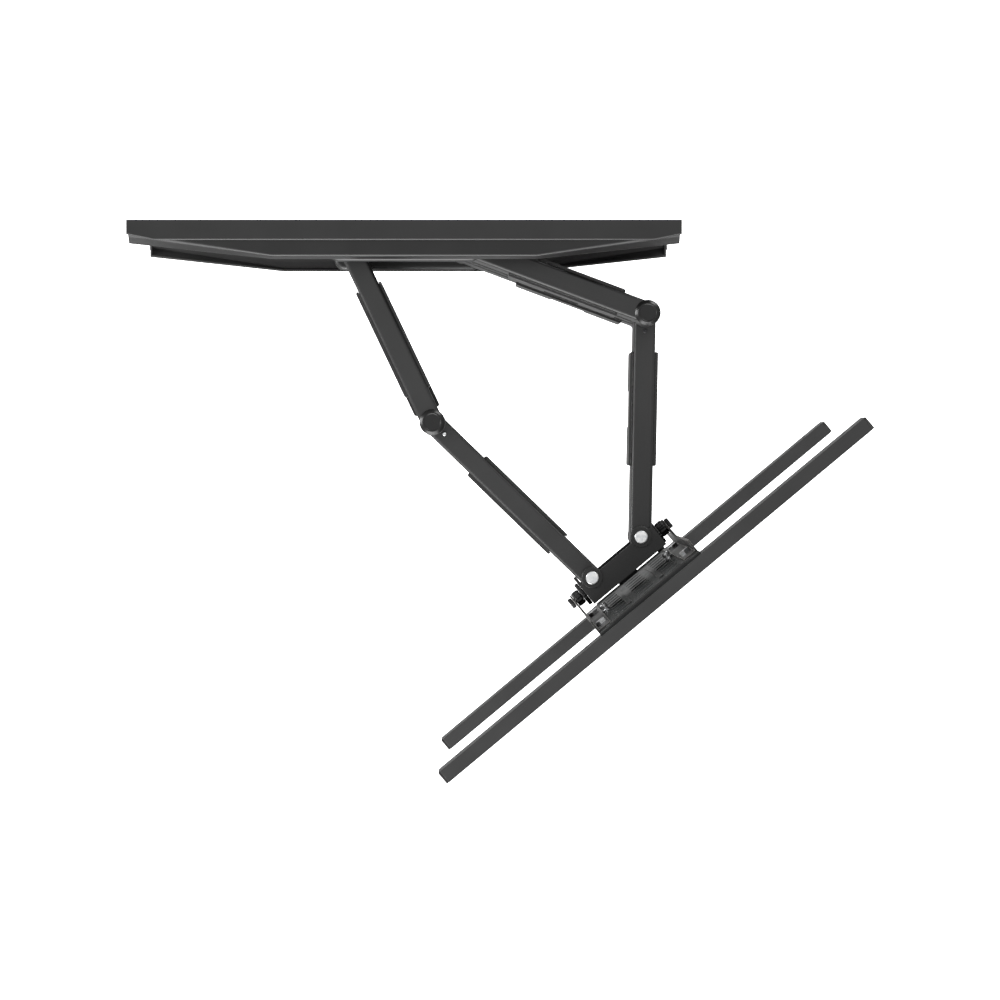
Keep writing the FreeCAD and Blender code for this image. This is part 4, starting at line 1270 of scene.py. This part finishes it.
@dataclass
class LowerArm(Arm):
    """A single forearm with its cable cover, bushes and small screw.

    Attributes:
        crown: Rounding of the screw's head, as a share of its radius.
        socket_edge: Rounding of its socket's rim.
        socket: Radius and height of that rim, as shares of the head's.
        socket_foot: Radius and height of the socket's foot.
        socket_floor: Radius and height of the middle of its floor.
    """

    crown: float = 0.4
    socket_edge: float = 0.1 * MM
    socket: tuple[float, float] = (0.5, 1.0)
    socket_foot: tuple[float, float] = (0.45, 0.45)
    socket_floor: tuple[float, float] = (0.0, 0.4)

    kind = "lower"

    def build(self) -> None:
        """Dress the tube and make the screw."""
        side = self.hand.value
        self.shop.dress(COAT, f"forearm_{side}")
        self._cover(f"cable_cover_{side}_forearm", self.plan.lower(self.hand))
        self.shop.dress(NYLON, f"elbow_bush_{side}", f"head_bush_{side}")
        self._screw()

    def _screw(self) -> None:
        """Make the round-headed screw with a socket."""
        name = f"forearm_screw_{self.hand.value}"
        low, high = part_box(name)
        middle = (low + high) / 2
        station = Station.on_axes(Vector((middle.x, middle.y, low.z)), ALONG_X, UP)
        outer = (high.x - low.x) / 2
        corners = (
            (0.0, 0.0), (1.0, 0.0), (1.0, 1.0, outer * self.crown / MM),
            (*self.socket, self.socket_edge / MM), self.socket_foot, self.socket_floor,
        )
        profile = scaled(corners, outer, high.z - low.z)
        finish = ZINC if self.hand is Hand.LEFT else BLACK_ZINC
        self.turn(name, profile, [station], finish, steps=36)


@dataclass(frozen=True)
class Ridges:
    """How the rim and the ends of a ridged round are shaped.

    Attributes:
        count: Number of ridges.
        swing: Height of the ridges, as a share of the radius.
        crown: Length of the sloped ends.
        drop: How far those ends draw in, as a share of the radius.
    """

    count: int
    swing: float
    crown: float
    drop: float

    def sizes(self, outer: float, length: float) -> dict[str, float]:
        """Sizes for the tree of lobed rounds.

        Args:
            outer: Radius over the ridges.
            length: Length along the axis.

        Returns:
            The sizes by name.
        """
        return {
            "radius": outer / (1 + self.swing), "swing": self.swing, "lobes": float(self.count),
            "length": length, "crown": self.crown, "drop": self.drop,
        }


@dataclass
class SwivelHead(Assembly):
    """The fork for the forearms, its rivets and the hardware on the tilt axis.

    Attributes:
        shank: Radius of the rivets' shanks.
        rivet_edge: Rounding of the rivets' heads.
        rivet_rim: From a head's top down to its rim.
        rivet_flat: From a head's top down to the edge of its flat.
        flat_share: Radius of that flat, as a share of the head's.
        dome_edge: Rounding of the flat's edge.
        bolt_head: Height of a tilt bolt's head.
        bolt_shank: Radius of its shank.
        chamfer: Chamfer at its end.
        disc: Shape of a friction disc's rim.
        barrel: Shape of a barrel's rim.
        ribs: Number of the buffer's ribs.
        rib_gap: Half the gap between two ribs, as a share of their pitch.
        rib_inset: From the buffer's sides to its ribs' ends.
        rib_edge: Rounding of a rib.
        rib_root: From the buffer's back to its ribs' roots, as a share of its depth.
        base_depth: Depth of the buffer's base, as a share of the whole.
        base_edge: Rounding of the base.
    """

    shank: float = 6 * MM
    rivet_edge: float = 0.9 * MM
    rivet_rim: float = 0.3 * MM
    rivet_flat: float = 0.1 * MM
    flat_share: float = 0.8
    dome_edge: float = 2 * MM
    bolt_head: float = 3 * MM
    bolt_shank: float = 4 * MM
    chamfer: float = 0.6 * MM
    disc: Ridges = Ridges(24, swing=0.02, crown=1.3 * MM, drop=0.10)
    barrel: Ridges = Ridges(12, swing=0.05, crown=2.2 * MM, drop=0.16)
    ribs: int = 5
    rib_gap: float = 0.14
    rib_inset: float = 0.8 * MM
    rib_edge: float = 1.1 * MM
    rib_root: float = 0.4
    base_depth: float = 0.6
    base_edge: float = 1.0 * MM

    body = "head"
    BOLT_HEAD = ((0.0, 0.0), (0.6, 0.1, 2.0), (1.0, 2.2 / 3, 0.4), (1.0, 1.0))
    BUMPER = (
        (0.0, 0.0), (1.0, 0.0), (1.0, 0.35, 0.3), (0.88, 0.45, 0.3), (0.94, 0.6, 0.5),
        (0.94, 1.0, 1.6), (0.4, 1.0, 0.4), (0.3, 0.8), (0.0, 0.8),
    )

    def build(self) -> None:
        """Dress the fork and make its turned and moulded pieces."""
        self.shop.dress(FORK_COAT, "head_bracket", "head_washers")
        self.shop.dress(NYLON, "fork_washers")
        for hand in Hand:
            self._rivet(hand)
            self._tilt_bolt(hand)
        self._ridged("friction_washers", self.disc)
        self._ridged("tilt_barrels", self.barrel)
        self._buffer()
        self._bumper()

    def _rivet(self, hand: Hand) -> None:
        """Make a rivet with two flat heads whose rims are rounded.

        Args:
            hand: Which forearm it holds.
        """
        name = f"head_rivet_{hand.value}"
        station = Station.on_axes(self.plan.wrist(hand), ALONG_X, UP)
        end = station.measure(name)[1]
        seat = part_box("head_washers")[1].z
        upper = [
            (self.shank, seat),
            (end.x, seat),
            (end.x, end.z - self.rivet_rim, self.rivet_edge),
            (end.x * self.flat_share, end.z - self.rivet_flat, self.dome_edge),
            (0.0, end.z),
        ]
        lower = [(x, -z, *edge) for x, z, *edge in reversed(upper)]
        self.turn(name, lower + upper, [station], ZINC, steps=72)

    def _tilt_bolt(self, hand: Hand) -> None:
        """Make a tilt bolt with a domed head and a chamfered end.

        Args:
            hand: Which side of the head it is on.
        """
        name = f"tilt_bolt_{hand.value}"
        axis = self.plan.tilt_axis
        station = self.head.aimed((0.0, axis.y, axis.z), ALONG_X * hand.sign)
        low, high = station.measure(name)
        head = scaled(self.BOLT_HEAD, high.x, self.bolt_head)
        profile = [(x, low.z + z, *edge) for x, z, *edge in head] + [
            (self.bolt_shank, low.z + self.bolt_head),
            (self.bolt_shank, high.z - self.chamfer),
            (self.bolt_shank - self.chamfer, high.z),
            (0.0, high.z),
        ]
        self.turn(name, profile, [station], ZINC)

    def _ridged(self, node: str, ridges: Ridges) -> None:
        """Make the two ridged rounds of a node, one at each end of the tilt axis.

        Args:
            node: The two solids that they stand for.
            ridges: Shape of their rims.
        """
        low, high = self.head.measure(node)
        inside, outside = self.head.right_span(node)
        axis = self.plan.tilt_axis
        middle = (inside + outside) / 2
        seats = [self.head.place(hand.sign * middle, axis.y, axis.z) for hand in Hand]
        sizes = ridges.sizes((high.z - low.z) / 2, outside - inside)
        turn = self.head.turn(ALONG_X)
        self.grow(LobedRounds(), node, seats, KNOB_PLASTIC, turn=turn, **sizes)

    def _buffer(self) -> None:
        """Make the ribbed rubber buffer on the fork's front."""
        low, high = self.head.measure("head_buffer")
        depth = high.y - low.y
        pitch = (high.z - low.z) / self.ribs
        foot = (low.x, high.y - depth * self.base_depth, low.z)
        blocks = [block(foot, high, self.head, self.base_edge)]
        for number in range(self.ribs):
            start = low.z + pitch * (number + self.rib_gap)
            end = low.z + pitch * (number + 1 - self.rib_gap)
            foot = (low.x + self.rib_inset, low.y, start)
            top = (high.x - self.rib_inset, high.y - depth * self.rib_root, end)
            blocks.append(block(foot, top, self.head, self.rib_edge))
        self.replace("head_buffer", blocks, RUBBER)

    def _bumper(self) -> None:
        """Make the round bumper with a groove and a dimple in its face."""
        low, high = self.head.measure("head_bumper")
        middle = (low + high) / 2
        station = self.head.aimed((middle.x, high.y, middle.z), (0.0, -1.0, 0.0))
        profile = scaled(self.BUMPER, (high.x - low.x) / 2, high.y - low.y)
        self.turn("head_bumper", profile, [station], RUBBER)


@dataclass
class ScreenFrame(Assembly):
    """The tilting frame: screen plate, tilt brackets and the two rails.

    Attributes:
        shank: Radius of the frame's bolts.
        thickness: Height of their heads and nuts.
        chamfer: Chamfer at the rail bolts' ends.
        sheet: Sheet of the screen plate.
        pad_length: Length of a pressed pad, across the frame.
        pad_width: Width of a pad.
        pad_rise: Height of a pad.
        pad_pitch: Distance between rows of pads.
        pad_spacing: Distance between columns of pads.
        pad_margin: From the plate's ends to the outer rows.
        hem_rise: Height of the plate's hems.
        hem_width: Width of the hems.
        hem_clearance: From the brackets' bolts to the hems' ends.
        hem_edge: Rounding of the hems.
        cap_edge: Rounding of a rail's end cap.
        plug_wall: The rail's wall round a cap's plug.
        plug_reach: How far the plug stands in the rail.
        plug_root: How far it reaches into the cap.
        plug_edge: Rounding of the plug.
    """

    shank: float = 4 * MM
    thickness: float = 5 * MM
    chamfer: float = 0.5 * MM
    sheet: float = 3 * MM
    pad_length: float = 26 * MM
    pad_width: float = 16 * MM
    pad_rise: float = 1.5 * MM
    pad_pitch: float = 44 * MM
    pad_spacing: float = 38 * MM
    pad_margin: float = 42 * MM
    hem_rise: float = 2.4 * MM
    hem_width: float = 4 * MM
    hem_clearance: float = 10.5 * MM
    hem_edge: float = 0.9 * MM
    cap_edge: float = 1.2 * MM
    plug_wall: float = 2.2 * MM
    plug_reach: float = 8 * MM
    plug_root: float = 1 * MM
    plug_edge: float = 0.5 * MM

    body = "screen_frame"
    BACKWARDS = (0.0, 1.0, 0.0)
    DOME = (
        (1.0, 0.0), (1.0, 0.4, 0.3), (0.7, 1.0, 2.0), (0.42, 1.0, 0.2), (0.36, 0.2), (0.0, 0.2),
    )
    STOP = (
        (0.0, 0.0), (1.0, 0.0), (1.0, 0.25, 0.4), (0.82, 0.32, 0.3), (0.82, 0.45, 0.3),
        (1.0, 0.52, 0.4), (1.0, 1.0, 1.0), (0.45, 1.0, 0.4), (0.35, 0.8), (0.0, 0.75),
    )

    def build(self) -> None:
        """Dress the sheet parts and rails and make the bolts and caps."""
        self.shop.dress(SHADED_WRINKLED_COAT, "screen_plate")
        self.shop.dress(HIGHLIT_EAR_COAT, "tilt_bracket_left", "tilt_bracket_right")
        self.shop.dress(COAT, "rail_top", "rail_bottom")
        self._pads()
        self._hems()
        self._bracket_bolts()
        self._rail_bolts()
        self._stops()
        self._end_caps()

    def _pads(self) -> None:
        """Press rows of low pads into the back of the screen plate."""
        low, high = self.head.measure("screen_plate")
        half = (high.z - low.z) / 2 - self.pad_margin
        rows = round(2 * half / self.pad_pitch)
        seats = [
            self.head.place(x * self.pad_spacing, low.y + self.sheet, half - 2 * half * row / rows)
            for x in (-1, 0, 1)
            for row in range(rows + 1)
        ]
        pads = PressedPads().grow(
            "plate_pads", seats, SHADED_WRINKLED_COAT, length=self.pad_length, width=self.pad_width,
            rise=self.pad_rise, turn=tuple(self.head.matrix.to_3x3().to_euler()),
        )
        self.shop.hand_over(pads, self.body, SHADED_WRINKLED_COAT)

    def _hems(self) -> None:
        """Fold a low hem along the screen plate's upper and lower edge."""
        low, high = self.head.measure("screen_plate")
        inside = self._column("tilt_bracket_bolts") - self.hem_clearance
        face = low.y + self.sheet
        hems = []
        for level in (low.z, high.z - self.hem_width):
            foot = (-inside, face - self.sheet / 2, level)
            top = (inside, face + self.hem_rise, level + self.hem_width)
            hems.append(block(foot, top, self.head, self.hem_edge))
        self.add("plate_hems", hems, COAT)

    def _column(self, node: str) -> float:
        """Distance of a node's bolts from the frame's middle."""
        return sum(self.head.right_span(node)) / 2

    def _corners(self, node: str, depth: float, inset: float) -> list[tuple[float, ...]]:
        """Places of a node's four bolts.

        Args:
            node: The group of bolts.
            depth: Depth of the places.
            inset: From the upper and lower end of the node's box.

        Returns:
            The places, in the head's coordinates.
        """
        low, high = self.head.measure(node)
        column = self._column(node)
        levels = (low.z + inset, high.z - inset)
        return [(hand.sign * column, depth, level) for hand in Hand for level in levels]

    def _bracket_bolts(self) -> None:
        """Make the bolts and nuts that hold the tilt brackets."""
        node = "tilt_bracket_bolts"
        low, high = self.head.measure(node)
        corner = high.x - self._column(node)
        seat = high.y - self.thickness
        places = self._corners(node, seat, corner * math.cos(math.pi / 6))
        self.grow(
            HexBolts(), node, [self.head.place(*place) for place in places], ZINC,
            corner=corner, height=self.thickness, shank=self.shank, reach=seat - low.y,
            nut_at=low.y + self.thickness - seat, turn=self.head.turn(self.BACKWARDS),
        )

    def _rail_bolts(self) -> None:
        """Make the rails' bolts, with low domed heads and a round socket."""
        low, high = self.head.measure("rail_bolts")
        outer = high.x - self._column("rail_bolts")
        top = high.y - low.y
        cap = high.y - self.head.measure("screen_plate")[0].y - self.sheet
        seat = top - cap
        shank, chamfer = self.shank, self.chamfer
        profile = [(0.0, 0.0), (shank - chamfer, 0.0), (shank, chamfer), (shank, seat)]
        profile += [(x, seat + z, *edge) for x, z, *edge in scaled(self.DOME, outer, cap)]
        self._turned_back("rail_bolts", profile, self._corners("rail_bolts", low.y, outer), COAT)

    def _stops(self) -> None:
        """Make the two turned stops, each with a collar and a dimpled face."""
        low, high = self.head.measure("tilt_stops")
        outer, middle = (high.z - low.z) / 2, (low.z + high.z) / 2
        places = [(hand.sign * (high.x - outer), low.y, middle) for hand in Hand]
        self._turned_back("tilt_stops", scaled(self.STOP, outer, high.y - low.y), places, ZINC)

    def _turned_back(
        self, node: str, profile: Profile, places: Iterable[tuple[float, ...]], finish: Finish
    ) -> None:
        """Turn a profile at places of the frame, each piece with its top to the wall."""
        stations = [self.head.aimed(place, self.BACKWARDS) for place in places]
        self.turn(node, profile, stations, finish)

    def _end_caps(self) -> None:
        """Make the moulded end caps of both rails."""
        low, high = self.head.measure("rail_end_caps")
        blocks = []
        for rail in ("rail_top", "rail_bottom"):
            bottom, top = self.head.measure(rail)
            cap = (top.x, high.x, 0.0, self.cap_edge)
            ends = (top.x - self.plug_reach, top.x + self.plug_root)
            for hand in Hand:
                for near, far, wall, edge in (cap, (*ends, self.plug_wall, self.plug_edge)):
                    start, end = sorted((hand.sign * near, hand.sign * far))
                    foot = (start, low.y + wall, bottom.z + wall)
                    crest = (end, high.y - wall, top.z - wall)
                    blocks.append(block(foot, crest, self.head, edge))
        self.replace("rail_end_caps", blocks, PLASTIC)


@dataclass
class TiltKnob(Sided):
    """A small star knob on the end of a tilt bolt.

    Attributes:
        lobes: Shape of its finger lobes.
    """

    lobes: Ridges = Ridges(5, swing=0.16, crown=1.4 * MM, drop=0.22)

    kind = "knob"

    def build(self) -> None:
        """Make the knob."""
        name = f"tilt_knob_{self.hand.value}"
        low, high = self.head.measure(name)
        axis = self.plan.tilt_axis
        seat = self.head.place((low.x + high.x) / 2, axis.y, axis.z)
        sizes = self.lobes.sizes(max(high.z - axis.z, axis.z - low.z), high.x - low.x)
        turn = self.head.turn(ALONG_X)
        self.grow(LobedRounds(), name, [seat], KNOB_PLASTIC, turn=turn, **sizes)


@dataclass(frozen=True)
class Lamp:
    """A soft rectangular lamp that is aimed at the mount.

    Attributes:
        name: The lamp's name.
        place: Where it hangs.
        width: Width of its face.
        height: Height of its face.
        power: Light in watts.
    """

    name: str
    place: tuple[float, float, float]
    width: float
    height: float
    power: float

    def hang(self, target: Sequence[float]) -> None:
        """Hang the lamp.

        Args:
            target: What it is aimed at.
        """
        data = bpy.data.lights.new(self.name, "AREA")
        data.energy = self.power
        data.shape = "RECTANGLE"
        data.size = self.width
        data.size_y = self.height
        holder = bpy.data.objects.new(self.name, data)
        holder.location = self.place
        aim = Vector(target) - Vector(self.place)
        holder.rotation_euler = aim.to_track_quat("-Z", "Y").to_euler()
        bpy.context.scene.collection.objects.link(holder)


@dataclass
class Studio:
    """A pale floor, soft lamps and a camera that looks straight down.

    Attributes:
        target: What the lamps are aimed at.
        surround: Strength of the light from all sides.
        floor_level: Height of the floor.
        floor_half: Half the floor's side.
        eye: The camera's place.
        focal_pixels: Focal length in pixels of the photograph.
        axis_pixel: Where the camera's axis meets the photograph.
        image_side: Width and height of the photograph in pixels.
        sensor: Width of the camera's sensor in millimetres.
        far: Distance of the camera's far limit.
    """

    target: tuple[float, float, float] = (0.11, -0.33, 0.0)
    surround: float = 0.62
    floor_level: float = -0.62
    floor_half: float = 14.0
    eye: tuple[float, float, float] = (0.0783, -0.294, 3.6515)
    focal_pixels: float = 2877.3
    axis_pixel: tuple[float, float] = (468.0, 460.0)
    image_side: int = 1000
    sensor: float = 36.0
    far: float = 100.0

    WHITE = (1.0, 1.0, 1.0, 1.0)
    PAPER = (0.9, 0.9, 0.9, 1.0)
    LAMPS = (
        Lamp("overhead_lamp", (0.1, -0.3, 4.6), 4.2, 4.2, 24.0),
        Lamp("front_lamp", (-0.1, -3.2, 1.3), 3.4, 2.6, 270.0),
        Lamp("left_lamp", (-2.6, 0.1, 0.7), 1.3, 1.2, 80.0),
        Lamp("back_lamp", (1.8, 2.7, 1.1), 1.8, 1.3, 64.0),
    )

    def build(self) -> None:
        """Make the floor, the light and the camera."""
        self._floor()
        self._light()
        self._camera()

    def _floor(self) -> None:
        """Lay a wide pale floor."""
        half = self.floor_half
        mesh = bmesh.new()
        corners = ((-half, -half), (half, -half), (half, half), (-half, half))
        mesh.faces.new([mesh.verts.new((x, y, self.floor_level)) for x, y in corners])
        data = bpy.data.meshes.new("studio_floor")
        mesh.to_mesh(data)
        mesh.free()
        floor = bpy.data.objects.new("studio_floor", data)
        bpy.context.scene.collection.objects.link(floor)
        data.materials.append(self._paper())
        floor.visible_glossy = False

    def _paper(self) -> bpy.types.Material:
        """Make the floor's dull material, which glows a little.

        Returns:
            The material.
        """
        material = bpy.data.materials.new("pale_floor")
        material.use_nodes = True
        material.node_tree.nodes.clear()
        graph = ShaderGraph(material.node_tree)
        inputs = {
            "Base Color": self.PAPER, "Roughness": 0.9,
            "Emission Color": self.WHITE, "Emission Strength": 0.8,
        }
        paper = graph.add("ShaderNodeBsdfPrincipled", inputs)
        graph.add("ShaderNodeOutputMaterial", {"Surface": paper.outputs["BSDF"]})
        return material

    def _light(self) -> None:
        """Hang the lamps in a pale surround."""
        world = bpy.data.worlds.new("pale_surround")
        world.use_nodes = True
        background = world.node_tree.nodes["Background"]
        background.inputs["Color"].default_value = self.WHITE
        background.inputs["Strength"].default_value = self.surround
        bpy.context.scene.world = world
        for lamp in self.LAMPS:
            lamp.hang(self.target)

    def _camera(self) -> None:
        """Look straight down, with the photograph's framing."""
        data = bpy.data.cameras.new("overhead")
        data.sensor_width = self.sensor
        data.lens = self.focal_pixels * data.sensor_width / self.image_side
        middle = self.image_side / 2
        data.shift_x = (middle - self.axis_pixel[0]) / self.image_side
        data.shift_y = (self.axis_pixel[1] - middle) / self.image_side
        data.clip_end = self.far
        camera = bpy.data.objects.new("overhead", data)
        camera.location = self.eye
        bpy.context.scene.collection.objects.link(camera)
        bpy.context.scene.camera = camera


def main() -> None:
    """Dress the mount and set up the studio."""
    logging.basicConfig(level=logging.INFO, format="%(name)s: %(message)s")
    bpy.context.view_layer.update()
    bpy.context.scene.view_settings.view_transform = "Standard"
    shop = Workshop()
    assemblies: list[Assembly] = [WallSide(shop)]
    for hand in Hand:
        assemblies += [UpperArm(shop, hand), LowerArm(shop, hand), TiltKnob(shop, hand)]
    assemblies += [SwivelHead(shop), ScreenFrame(shop)]
    for assembly in assemblies:
        assembly.build()
    Studio().build()
    log.info("%d new pieces", shop.made)


if __name__ == "__main__":
    main()
